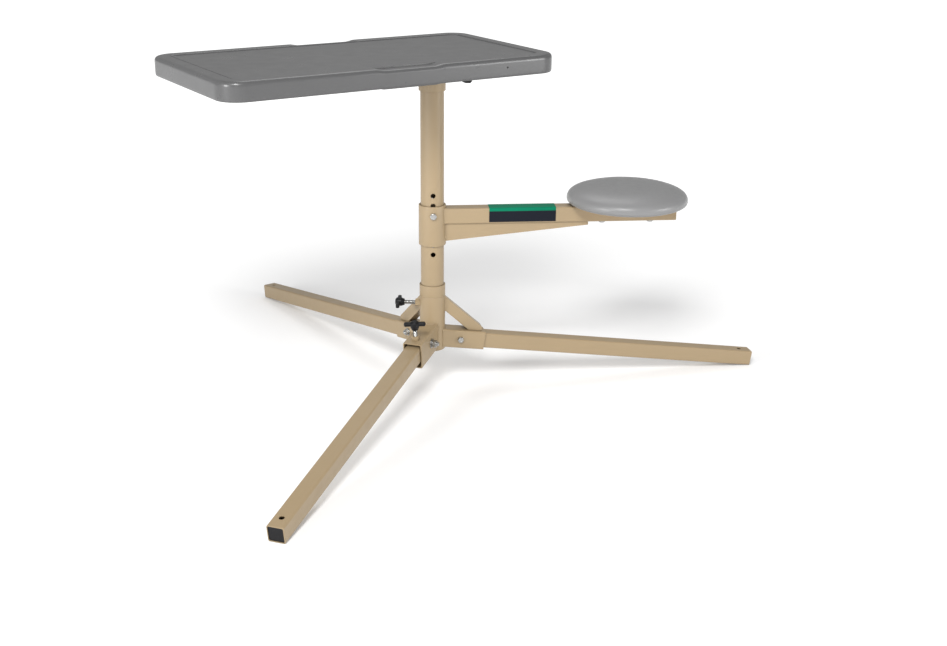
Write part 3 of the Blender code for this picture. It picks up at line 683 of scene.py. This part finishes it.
BASE_COPE = 0.0312          # radii that the pieces' ends are cut to
COLLAR_COPE = 0.0328
SLEEVE_COPE = 0.0318
WELDS = (                   # name, node, radius of its cut end, body, radius of the bead
    ("weld_socket_right", "socket_right", BASE_COPE, "base", WELD_RADIUS),
    ("weld_socket_rear", "socket_rear", BASE_COPE, "base", WELD_RADIUS),
    ("weld_socket_front", "socket_front", BASE_COPE, "base", WELD_RADIUS),
    ("weld_brace_top_right", "brace_right", BASE_COPE, "base", 0.0014),
    ("weld_brace_top_rear", "brace_rear", BASE_COPE, "base", 0.0014),
    ("weld_lock_boss", "lock_boss", BASE_COPE, "base", 0.0013),
    ("weld_arm", "seat_arm", COLLAR_COPE, "post", 0.0015),
    ("weld_gusset", "arm_gusset", COLLAR_COPE, "post", 0.0013),
    ("weld_table_lock_boss", "table_lock_boss", SLEEVE_COPE, "table", 0.0013),
)


def make_welds():
    for name, node, cope, body, radius in WELDS:
        bead(name, meeting_loop(node, on_post_cylinder(cope)), body, radius)
    low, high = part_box("table_sleeve")
    radius = (high.x - low.x) / 2
    ring = [Vector(point) + POST for point in circle(radius, high.z, ROUND_SIDES)]
    bead("weld_sleeve", ring, "table")


# ---- tubes and frame ------------------------------------------------------------------

TUBE_CORNER = 0.0045
TUBE_WALL = 0.002
TUBE_END_EASE = 0.0006
STAKE_RADIUS = 0.006
STAKE_INSET = 0.030
SLEEVE_SIDES = 128
ROD_SIDES = 32


def square_tube(node):
    """Square tube with rounded corners and eased ends, and its CAD node's frame and half sizes."""
    matrix, half = tube_frame(node)
    outer = rounded_rectangle(half[1], half[2], TUBE_CORNER)
    inner = rounded_rectangle(half[1] - TUBE_WALL, half[2] - TUBE_WALL,
                              TUBE_CORNER - TUBE_WALL / 2)
    eased = rounded_rectangle(half[1] - TUBE_END_EASE, half[2] - TUBE_END_EASE,
                              TUBE_CORNER - TUBE_END_EASE)
    end = half[0]

    def ring(outline, x):
        return [(x, y, z) for y, z in outline]

    rings = [
        ring(inner, -end), ring(eased, -end), ring(outer, -end + TUBE_END_EASE),
        ring(outer, end - TUBE_END_EASE), ring(eased, end), ring(inner, end),
    ]
    return loft(node, list(reversed(rings)), closed=True), matrix, half


def cross_rod(radius, reach, matrix):
    """A cylinder about the Z axis of a frame, for cutting."""
    profile = [(0, -reach), (radius, -reach), (radius, reach), (0, reach)]
    return turned("rod", profile, matrix, ROD_SIDES)


def add_flat_sided(name, mesh, node):
    """Adds a square tube, with its flats shaded flat and its corners round."""
    weight_normals(add_piece(name, mesh, node, smooth_angle=45), keep_sharp=True)


def make_leg(side):
    mesh, matrix, half = square_tube("leg_" + side)
    hole = cross_rod(STAKE_RADIUS, 2 * half[2], Matrix.Translation((half[0] - STAKE_INSET, 0, 0)))
    mesh = boolean(mesh, hole)
    mesh.transform(matrix)
    add_flat_sided("leg_%s_tube" % side, mesh, "leg_" + side)


def make_arm():
    mesh, matrix, _ = square_tube("seat_arm")
    cope = turned("cope", [(0, 0), (COLLAR_COPE, 0), (COLLAR_COPE, 1), (0, 1)],
                  Matrix.Translation(POST))
    mesh.transform(matrix)
    mesh = boolean(mesh, cope)
    add_flat_sided("seat_arm_tube", mesh, "seat_arm")


def round_normals(mesh, radii):
    """Shades the faces on cylinders about the post exactly round, whatever cuts them."""
    normals = []
    for face in mesh.polygons:
        for index in face.vertices:
            point = mesh.vertices[index].co - POST
            out = Vector((point.x, point.y, 0))
            reach = out.length
            way = face.normal
            facing = out.normalized().dot(way) if reach > 0 else 0
            if abs(facing) > 0.9 and any(abs(reach - radius) < 0.0002 for radius in radii):
                way = out.normalized() * (1 if facing > 0 else -1)
            normals.append(way)
    mesh.normals_split_custom_set(normals)


POST_RADIUS = 0.0278
POST_WALL = 0.0025
HOLE_RADIUS = 0.006
HOLE_PITCH = 0.024
HOLES = range(-4, 3)        # steps from the collar's bolt


def make_post():
    low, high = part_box("post")
    inside = POST_RADIUS - POST_WALL
    profile = [(POST_RADIUS, low.z), (POST_RADIUS, high.z), (inside, high.z), (inside, low.z)]
    profile = soften(profile, TUBE_END_EASE, 3)
    mesh = turned("post", profile, Matrix.Translation(POST), SLEEVE_SIDES, closed=True)
    bolt_low, bolt_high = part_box("collar_bolt")
    bolt_height = (bolt_low.z + bolt_high.z) / 2
    drills = []
    for step in HOLES:
        place = POST + Vector((0, 0, bolt_height + step * HOLE_PITCH))
        turn = Matrix.Translation(place) @ Matrix.Rotation(math.pi / 2, 4, "X")
        drills.append(cross_rod(HOLE_RADIUS, 2 * POST_RADIUS, turn))
    mesh = boolean(mesh, joined(drills))
    add_piece("post_tube", mesh, "post", smooth_angle=None)
    round_normals(mesh, (POST_RADIUS, inside))


SLEEVE_BORE = 0.0282
SLEEVE_EASE = 0.0012


def make_sleeve(name, node):
    """A plain round sleeve about the post, with eased edges."""
    low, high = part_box(node)
    radius = (high.x - low.x) / 2
    profile = [(radius, low.z), (radius, high.z), (SLEEVE_BORE, high.z), (SLEEVE_BORE, low.z)]
    mesh = turned(name, soften(profile, SLEEVE_EASE, 4), Matrix.Translation(POST),
                  SLEEVE_SIDES, closed=True)
    add_piece(name, mesh, node, smooth_angle=40)


BASE_TUBE_RADIUS = 0.0309
BASE_TUBE_BORE = 0.0285
BAND_BOTTOM = 0.239
BAND_GROOVE = 0.0006        # depth and half height of the line under the band


def make_sleeves():
    """The base tube with its band, the seat's collar and the table's sleeve."""
    low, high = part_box("base_tube")
    band = (high.x - low.x) / 2
    corners = [                 # radius, height, ease
        (BASE_TUBE_RADIUS, low.z, 0.0008),
        (BASE_TUBE_RADIUS, BAND_BOTTOM - 2 * BAND_GROOVE, 0.0003),
        (BASE_TUBE_RADIUS - BAND_GROOVE, BAND_BOTTOM - BAND_GROOVE, 0.0003),
        (BASE_TUBE_RADIUS - BAND_GROOVE, BAND_BOTTOM, 0.0003),
        (band, BAND_BOTTOM + 0.0004, 0.0004),
        (band, high.z, 0.0013),
        (BASE_TUBE_BORE, high.z, 0.001),
        (BASE_TUBE_BORE, low.z, 0.0008),
    ]
    profile = soften([corner[:2] for corner in corners], [corner[2] for corner in corners], 4)
    mesh = turned("base_tube", profile, Matrix.Translation(POST), SLEEVE_SIDES, closed=True)
    add_piece("base_tube_sleeve", mesh, "base_tube", smooth_angle=40)
    make_sleeve("seat_collar_sleeve", "seat_collar")
    make_sleeve("table_sleeve_tube", "table_sleeve")


GUSSET_TIP_RADIUS = 0.006
CUT_MARGIN = 0.002          # how far the corner's cutter reaches past the channel


def make_gusset():
    """Tapered channel under the arm, with its lower corner rounded off at the thin end."""
    cloud = cad_points("arm_gusset")
    end = cloud[:, 0].max()
    low = cloud[cloud[:, 0] > end - 0.001][:, 2].min()
    centre = (end - GUSSET_TIP_RADIUS, low + GUSSET_TIP_RADIUS)
    outline = [(end + CUT_MARGIN, low - CUT_MARGIN), (end + CUT_MARGIN, centre[1])]
    for i in range(9):
        angle = math.radians(-90 * i / 8)
        outline.append((centre[0] + GUSSET_TIP_RADIUS * math.cos(angle),
                        centre[1] + GUSSET_TIP_RADIUS * math.sin(angle)))
    outline.append((centre[0], low - CUT_MARGIN))
    reach = float(np.abs(cloud[:, 1] - POST.y).max()) + CUT_MARGIN
    corner = loft("corner", [[(x, POST.y + side * reach, z) for x, z in outline]
                             for side in (-1, 1)])
    mesh = boolean(clean_copy("arm_gusset"), corner)
    mesh = modified(mesh, edge_rounding(0.0011, 3, 30))
    weight_normals(add_piece("arm_gusset_channel", mesh, "arm_gusset", smooth_angle=None))


def make_frame():
    for side in ("right", "rear", "front"):
        make_leg(side)
        polished("socket_" + side, "socket_%s_tube" % side, 0.0005)
        polished("leg_plug_" + side, "leg_plug_%s_cap" % side, 0.0006)
    for side in ("right", "rear"):
        polished("brace_" + side, "brace_%s_strut" % side, 0.0016, 3)
    make_arm()
    make_gusset()
    polished("arm_plug", "arm_plug_cap", 0.0008)
    for node in ("lock_boss", "levelling_boss", "table_lock_boss"):
        polished(node, node + "_nut", 0.0005)
    polished("table_plate", "table_plate_square", 0.0006)
    make_post()
    make_sleeves()


# ---- fasteners ------------------------------------------------------------------------

M8 = 0.004                  # shank radii
M10 = 0.005
M8_BORE = M8 + 0.0003
M10_BORE = M10 + 0.0003
HEAD = 0.0055               # height of a bolt's head
CHAMFER_SHARE = 0.96        # where a hexagon's chamfer starts, as a share of half its flats
CHAMFER_SLOPE = math.tan(math.radians(30))
WASHER_FACE = 0.0004
NUT_CHAMFER = 0.0007
TIP_CHAMFER = 0.001


def hexagon(flats, height_at):
    """A hexagonal ring with a corner on +X. height_at gives each point's height from its radius."""
    points = []
    for i in range(SMALL_SIDES):
        angle = 2 * math.pi * i / SMALL_SIDES
        off_flat = (angle % (math.pi / 3)) - math.pi / 6
        radius = flats / 2 / math.cos(off_flat)
        points.append((radius * math.cos(angle), radius * math.sin(angle), height_at(radius)))
    return points


def flats_of(node, matrix):
    """Distance across a hexagonal node's flats."""
    inverse = np.array(matrix.inverted())
    cloud = cad_points(node) @ inverse[:3, :3].T + inverse[:3, 3]
    return float(np.linalg.norm(cloud[:, :2], axis=1).max()) * math.sqrt(3)


def threaded(radius, low, high):
    """Rings of a screw thread from low to high, with a chamfered tip at the high end."""
    rings = []
    count = max(2, round((high - low) / THREAD_PITCH * THREAD_STEPS))
    for k in range(count + 1):
        height = low + (high - low) * k / count
        fade = min(1.0, (high - height) / TIP_CHAMFER * 0.5 + 0.5)
        ring = []
        for i in range(SMALL_SIDES):
            angle = 2 * math.pi * i / SMALL_SIDES
            phase = (height / THREAD_PITCH - i / SMALL_SIDES) % 1.0
            depth = THREAD_DEPTH * abs(2 * phase - 1)
            reach = (radius - depth) * fade
            ring.append((reach * math.cos(angle), reach * math.sin(angle), height))
        rings.append(ring)
    return rings


def make_bolt(node, shank_radius, thread_length):
    """Hexagon bolt with a shallow dish in its head and a cut thread."""
    matrix, length = axis_frame(node)
    flats = flats_of(node, matrix)
    chamfer = flats / 2 * CHAMFER_SHARE
    face = HEAD - WASHER_FACE
    rings = [
        circle(chamfer * 0.6, 0.0003, SMALL_SIDES),
        circle(chamfer * 0.66, 0, SMALL_SIDES),
        circle(chamfer, 0, SMALL_SIDES),
        hexagon(flats, lambda radius: (radius - chamfer) * CHAMFER_SLOPE),
        hexagon(flats, lambda radius: face),
        circle(chamfer * 0.97, face, SMALL_SIDES),
        circle(chamfer * 0.97, HEAD, SMALL_SIDES),
        circle(shank_radius, HEAD, SMALL_SIDES),
        circle(shank_radius, length - thread_length, SMALL_SIDES),
    ]
    rings += threaded(shank_radius, length - thread_length, length)
    add_piece(node + "_hex", loft(node, rings, matrix), node)


def make_nut(node, bore):
    matrix, length = axis_frame(node)
    flats = flats_of(node, matrix)
    chamfer = flats / 2 * CHAMFER_SHARE
    mouth = bore + NUT_CHAMFER
    rings = [
        circle(bore, NUT_CHAMFER, SMALL_SIDES),
        circle(mouth, 0, SMALL_SIDES),
        circle(chamfer, 0, SMALL_SIDES),
        hexagon(flats, lambda radius: (radius - chamfer) * CHAMFER_SLOPE),
        hexagon(flats, lambda radius: length - (radius - chamfer) * CHAMFER_SLOPE),
        circle(chamfer, length, SMALL_SIDES),
        circle(mouth, length, SMALL_SIDES),
        circle(bore, length - NUT_CHAMFER, SMALL_SIDES),
    ]
    add_piece(node + "_hex", loft(node, rings, matrix, closed=True), node)


def make_washer(node, bore, split=False):
    matrix, length = axis_frame(node)
    radius = flats_of(node, matrix) / math.sqrt(3)
    profile = soften([(radius, 0), (radius, length), (bore, length), (bore, 0)], length * 0.25, 3)
    mesh = turned(node, profile, matrix, SMALL_SIDES, closed=True)
    if split:
        outline = rounded_rectangle(radius, 0.0006, 0.0002, 2)
        slot = loft("slot", [[(x, y, z) for x, y in outline] for z in (-length, 2 * length)])
        slant = Matrix.Rotation(math.radians(25), 4, "X")
        slot.transform(matrix @ Matrix.Translation((radius * 0.8, 0, 0)) @ slant)
        mesh = boolean(mesh, slot)
    add_piece(node + "_ring", mesh, node)


def make_stud(node):
    joint = JOINTS[BODY_OF[node].replace("_stud", "_travel")]
    matrix, length = axis_frame(node, joint["axis"])
    radius = flats_of(node, matrix) / math.sqrt(3)
    rings = [circle(radius - THREAD_DEPTH, 0, SMALL_SIDES)] + threaded(radius, 0.0005, length)
    add_piece(node + "_thread", loft(node, rings, matrix), node)


def make_fasteners():
    for side in ("right", "rear"):
        make_bolt("leg_bolt_" + side, M8, 0.018)
        make_nut("leg_nut_" + side, M8_BORE)
        make_washer("leg_washer_" + side, M8_BORE)
    make_bolt("pivot_bolt", M10, 0.024)
    make_nut("pivot_nut", M10_BORE)
    make_washer("pivot_washer", M10_BORE)
    make_washer("pivot_spring_washer", M10_BORE, split=True)
    make_washer("pivot_sleeve", M10_BORE)
    make_bolt("collar_bolt", M10, 0.018)
    make_nut("collar_nut", M10_BORE)
    for name in ("inner", "outer"):
        make_bolt("seat_bolt_" + name, M8, 0.020)
    for number in range(1, 5):
        make_bolt("table_bolt_%d" % number, M8, 0.012)
    for node in ("levelling_stud", "lock_stud", "table_lock_stud"):
        make_stud(node)


# ---- knobs ----------------------------------------------------------------------------

KNOB_HUB = 0.0105           # radius
KNOB_LENGTH = 0.0225
KNOB_BAR_HALF = 0.0265
KNOB_BAR_PLACE = 0.0145     # hub's inner end to the middle of the bar
KNOB_BAR_WIDE = 0.00625     # half sizes of the bar's ends
KNOB_BAR_HIGH = 0.00475
KNOB_BAR_ROUND = 0.82       # where the bar's ends start to round off
KNOB_BAR_STATIONS = 25
KNOB_VOXEL = 0.00042
KNOB_BORE = 0.0053
KNOB_BORE_DEPTH = 0.009


def knob_frame(node):
    """Frame at a knob's inner end: Z outward along its screw, X along its bar."""
    joint = JOINTS[BODY_OF[node].replace("_knob", "_turn")]
    z = Vector(joint["axis"]).normalized()
    pivot = Vector(joint["pos_m"])
    cloud = cad_points(node)
    heights = (cloud - np.array(pivot)) @ np.array(z)
    outward = cloud - np.array(pivot) - np.outer(heights, z)
    x = Vector(outward[np.argmax(np.linalg.norm(outward, axis=1))])
    ends = outward[np.linalg.norm(outward, axis=1) > KNOB_BAR_HALF * 0.93]
    side = ends[ends @ np.array(x) > 0]
    x = Vector(side.mean(0)).normalized()
    return frame_matrix(x, z.cross(x), z, pivot + z * float(heights.min()))


def knob_bar():
    """A bar that swells toward its rounded ends."""
    rings = []
    for k in range(KNOB_BAR_STATIONS):
        share = -1 + 2 * k / (KNOB_BAR_STATIONS - 1)
        past = max(0.0, (abs(share) - KNOB_BAR_ROUND) / (1 - KNOB_BAR_ROUND))
        end = max(math.sqrt(max(0.0, 1 - past ** 2)), 0.02)
        swell = 0.86 + 0.14 * abs(share) ** 1.5
        half_y = KNOB_BAR_WIDE * swell * end
        half_z = KNOB_BAR_HIGH * swell * end
        outline = rounded_rectangle(half_y, half_z, min(half_y, half_z) * 0.62, 5)
        rings.append([(KNOB_BAR_HALF * share, y, KNOB_BAR_PLACE + up) for y, up in outline])
    return loft("bar", rings)


def make_knob(node):
    """T-knob: a turned hub and a bar with swelling ends, run together as one moulding."""
    hub = turned("hub", [
        (0, 0), (KNOB_HUB * 0.66, 0), (KNOB_HUB * 0.74, 0.0004), (KNOB_HUB, 0.008),
        (KNOB_HUB, KNOB_LENGTH - 0.007), (KNOB_HUB * 0.98, KNOB_LENGTH - 0.0035),
        (KNOB_HUB * 0.62, KNOB_LENGTH), (0, KNOB_LENGTH),
    ], None, SMALL_SIDES)
    whole = modified(
        joined([hub, knob_bar()]),
        ("REMESH", {"mode": "VOXEL", "voxel_size": KNOB_VOXEL}),
        ("SMOOTH", {"iterations": 5, "factor": 0.5}),
    )
    bore = turned("bore", [
        (0, -0.001), (KNOB_BORE, -0.001), (KNOB_BORE, KNOB_BORE_DEPTH), (0, KNOB_BORE_DEPTH),
    ], None, SMALL_SIDES)
    whole = boolean(whole, bore)
    whole.transform(knob_frame(node))
    add_piece(node + "_moulding", whole, node, smooth_angle=50)


def make_knobs():
    for node in ("levelling_knob", "lock_knob", "table_lock_knob"):
        make_knob(node)


# ---- seat -----------------------------------------------------------------------------

SEAT_WIDEST_DROP = 0.0352   # top of the dome down to its widest line
SEAT_MARGIN = 0.0004        # keeps the cover inside the CAD outline
SEAT_STEPS = 44
SEAT_SEGMENTS = 160
BOARD_GAP = 0.0003
PULL_DEPTH = 0.0009         # puckers under the edge
SAG_DEPTH = 0.0007          # unevenness of the dome


def seat_profile(radius, top, bottom, board_radius, board_top):
    """Dome, tucked edge and underside of the cushion, from the crown down and in."""
    widest = top - SEAT_WIDEST_DROP
    profile = []
    for i in range(SEAT_STEPS + 1):
        angle = math.pi / 2 * i / SEAT_STEPS
        reach = radius * math.sin(angle) ** 0.75
        rise = SEAT_WIDEST_DROP * max(math.cos(angle), 0.0) ** 0.72
        profile.append((reach, widest + rise))
    tuck = [(radius, widest), (radius - 0.0012, widest - 0.005),
            (radius - 0.009, bottom + 0.0004), (radius - 0.017, bottom),
            (board_radius + 2 * BOARD_GAP, bottom)]
    profile += soften(tuck, 0.004, 5, closed=False)[1:]
    profile += [(board_radius + BOARD_GAP, board_top + BOARD_GAP), (0, board_top + BOARD_GAP)]
    return profile


def make_seat():
    low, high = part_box("seat_cushion")
    board_low, board_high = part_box("seat_board")
    middle = Vector(((low.x + high.x) / 2, (low.y + high.y) / 2, 0))
    radius = (high.x - low.x) / 2 - SEAT_MARGIN
    board_radius = (board_high.x - board_low.x) / 2
    widest = high.z - SEAT_WIDEST_DROP
    rings = []
    for reach, height in seat_profile(radius, high.z, low.z, board_radius, board_high.z):
        under = 0.0
        if reach > board_radius + 0.001:
            under = min(1.0, max(0.0, (widest - height) / 0.006))
        calm = min(1.0, reach / 0.03) * (1 - under)
        ring = []
        for i in range(SEAT_SEGMENTS):
            angle = 2 * math.pi * i / SEAT_SEGMENTS
            way = Vector((math.cos(angle), math.sin(angle), 0))
            pull = under * (noise.noise(way * 5.5) + 0.6 * noise.noise(way * 15))
            sag = noise.noise(Vector((way.x * reach * 9, way.y * reach * 9, 3.0)))
            drawn = reach - PULL_DEPTH * abs(pull)
            ring.append((drawn * way.x, drawn * way.y, height - SAG_DEPTH * abs(sag) * calm))
        rings.append(ring)
    mesh = loft("seat_cushion", list(reversed(rings)), Matrix.Translation(middle))
    cushion = add_piece("seat_cushion_vinyl", mesh, "seat_cushion", smooth_angle=60)
    polished("seat_board", "seat_board_disc", 0.0006)


# ---- table ----------------------------------------------------------------------------

TABLE_CORNER = 0.050
TABLE_CORNER_LEAST = 0.018  # corner radius of the innermost outlines
DIP_START = -0.100
DIP_END = 0.066
DIP_RAMP = 0.022
DIP_DEPTH = 0.0034
EDGE_DIVISIONS = (88, 42)
BOX_MARGIN = 0.0001         # keeps the fine outline inside the CAD outline
SKIRT_INSET = 0.0064        # inner side of the skirt
RIM_WIDTH = 0.0330          # outer edge to the groove round the field
FIELD_DROP = 0.0020
GROOVE_DROP = 0.0034
VENT_PLACE = -0.2571        # moulding vent on the long side, from the table's middle
VENT_DROP = 0.0202
VENT_RADIUS = 0.0022
VENT_DEPTH = 0.005


def table_frame():
    """Frame at the middle of the table's top, X along it away from the post, and its half sizes."""
    cloud = cad_points("table_top_shell")
    top = cloud[:, 2].max()
    flat = cloud[:, :2]
    middle = flat.mean(0)
    ways = np.linalg.eigh(np.cov((flat - middle).T))[1]
    x = Vector((*ways[:, 1], 0))
    if x.dot(Vector((*middle, 0)) - POST) < 0:
        x.negate()
    y = Vector((0, 0, 1)).cross(x)
    turn = np.array((x[:2], y[:2]))
    inside = flat @ turn.T
    low, high = inside.min(0), inside.max(0)
    centre = turn.T @ ((low + high) / 2)
    return frame_matrix(x, y, Vector((0, 0, 1)), Vector((*centre, top))), (high - low) / 2


def smooth_step(value):
    value = min(1.0, max(0.0, value))
    return value * value * (3 - 2 * value)


def dip_at(x):
    """1 along the lowered stretch of each long side, 0 elsewhere."""
    return smooth_step((x - DIP_START) / DIP_RAMP) * smooth_step((DIP_END - x) / DIP_RAMP)


def table_ring(half, inset, drop, lowered):
    """The table's outline at an inset and a drop below its top.

    lowered is how far the ring follows the dips of the long sides, from 0 to 1.
    """
    radius = max(TABLE_CORNER - inset, TABLE_CORNER_LEAST)
    outline = rounded_rectangle(half[0] - inset - BOX_MARGIN, half[1] - inset - BOX_MARGIN,
                                radius, 12, EDGE_DIVISIONS)
    edge = half[1] - inset - 0.001 - BOX_MARGIN
    ring = []
    for x, y in outline:
        dip = DIP_DEPTH * dip_at(x) if abs(y) > edge else 0
        ring.append((x, y, -drop - lowered * dip))
    return ring


def make_table():
    """Top moulding: skirt, rim with its two dips, groove and sunk field."""
    matrix, half = table_frame()
    low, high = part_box("table_top_shell")
    depth = high.z - low.z
    corners = [                 # inset, drop, ease
        (SKIRT_INSET, 0.0055, 0),
        (SKIRT_INSET, depth - 0.0006, 0.002),
        (0.0, depth, 0.0075),
        (0.0, 0.0, 0.0110),
        (RIM_WIDTH, 0.0, 0.0022),
        (RIM_WIDTH + 0.0022, GROOVE_DROP, 0.0012),
        (RIM_WIDTH + 0.0055, GROOVE_DROP, 0.0012),
        (RIM_WIDTH + 0.0070, FIELD_DROP, 0.0012),
        (RIM_WIDTH + 0.0120, FIELD_DROP, 0),
    ]
    section = soften([corner[:2] for corner in corners], [corner[2] for corner in corners], 7,
                     closed=False)
    rings = []
    for inset, drop in section:
        if inset < SKIRT_INSET - 0.0002:
            lowered = max(0.0, 1 - drop / 0.016)
        else:
            lowered = 1.0 if inset < RIM_WIDTH + 0.0002 else 0.0
        rings.append(table_ring(half, inset, drop, lowered))
    vent = Matrix.Translation((VENT_PLACE, half[1], -VENT_DROP))
    vent = matrix @ vent @ Matrix.Rotation(math.pi / 2, 4, "X")
    mesh = boolean(loft("table_top", rings, matrix), cross_rod(VENT_RADIUS, VENT_DEPTH, vent))
    piece = add_piece("table_top_moulding", mesh, "table_top_shell", smooth_angle=50)
    weight_normals(piece, keep_sharp=True, weight=50)
    make_pan(matrix, half, depth)


PAN_INSET = 0.0070
PAN_RAISE = 0.002           # above the lower edge of the skirt
PAN_THICK = 0.003
DIMPLE_RADIUS = 0.017
DIMPLE_DEPTH = 0.0022
DIMPLE_SPACING = (0.083, 0.125)
DIMPLE_CLEARANCE = 0.012
DIMPLE_SIDES = 32


def make_pan(matrix, half, depth):
    """Underside skin, with rows of moulded dimples clear of the mounting plate."""
    face = -depth + PAN_RAISE
    outline = rounded_rectangle(half[0] - PAN_INSET, half[1] - PAN_INSET,
                                TABLE_CORNER - PAN_INSET, 10)
    mesh = loft("pan", [[(x, y, z) for x, y in outline] for z in (face, face + PAN_THICK)])
    low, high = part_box("table_plate")
    plate = matrix.inverted() @ ((low + high) / 2)
    plate.z = 0.0
    clear = (high - low).length / 2 + DIMPLE_CLEARANCE
    cone = [(0, -0.002), (DIMPLE_RADIUS + 0.001, -0.002), (DIMPLE_RADIUS, 0),
            (DIMPLE_RADIUS - 0.003, DIMPLE_DEPTH), (0, DIMPLE_DEPTH)]
    dimples = []
    for column in range(-4, 5):
        for row in (-1, 0, 1):
            place = Vector((column * DIMPLE_SPACING[0], row * DIMPLE_SPACING[1], 0))
            if (plate - place).length < clear:
                continue
            place.z = face
            dimples.append(turned("dimple", cone, Matrix.Translation(place), DIMPLE_SIDES))
    mesh = boolean(mesh, joined(dimples))
    mesh = modified(mesh, edge_rounding(0.0008, 2, 25))
    mesh.transform(matrix)
    piece = add_piece("table_bottom_moulding", mesh, "table_bottom_shell", smooth_angle=50)
    weight_normals(piece, keep_sharp=True, weight=50)


# ---- the rest of the CAD nodes ---------------------------------------------------------

def dress_plain_nodes():
    """CAD nodes that stay as they are, with their real material."""
    for name, node in NODES.items():
        if node.hide_render:
            continue
        node.data.materials.clear()
        node.data.materials.append(MATERIALS[SLOT_OF[name]])
        node.data.shade_smooth()
        node.data.set_sharp_from_angle(angle=math.radians(35))


make_camera()
make_studio()
make_frame()
make_welds()
make_fasteners()
make_knobs()
make_seat()
make_table()
dress_plain_nodes()
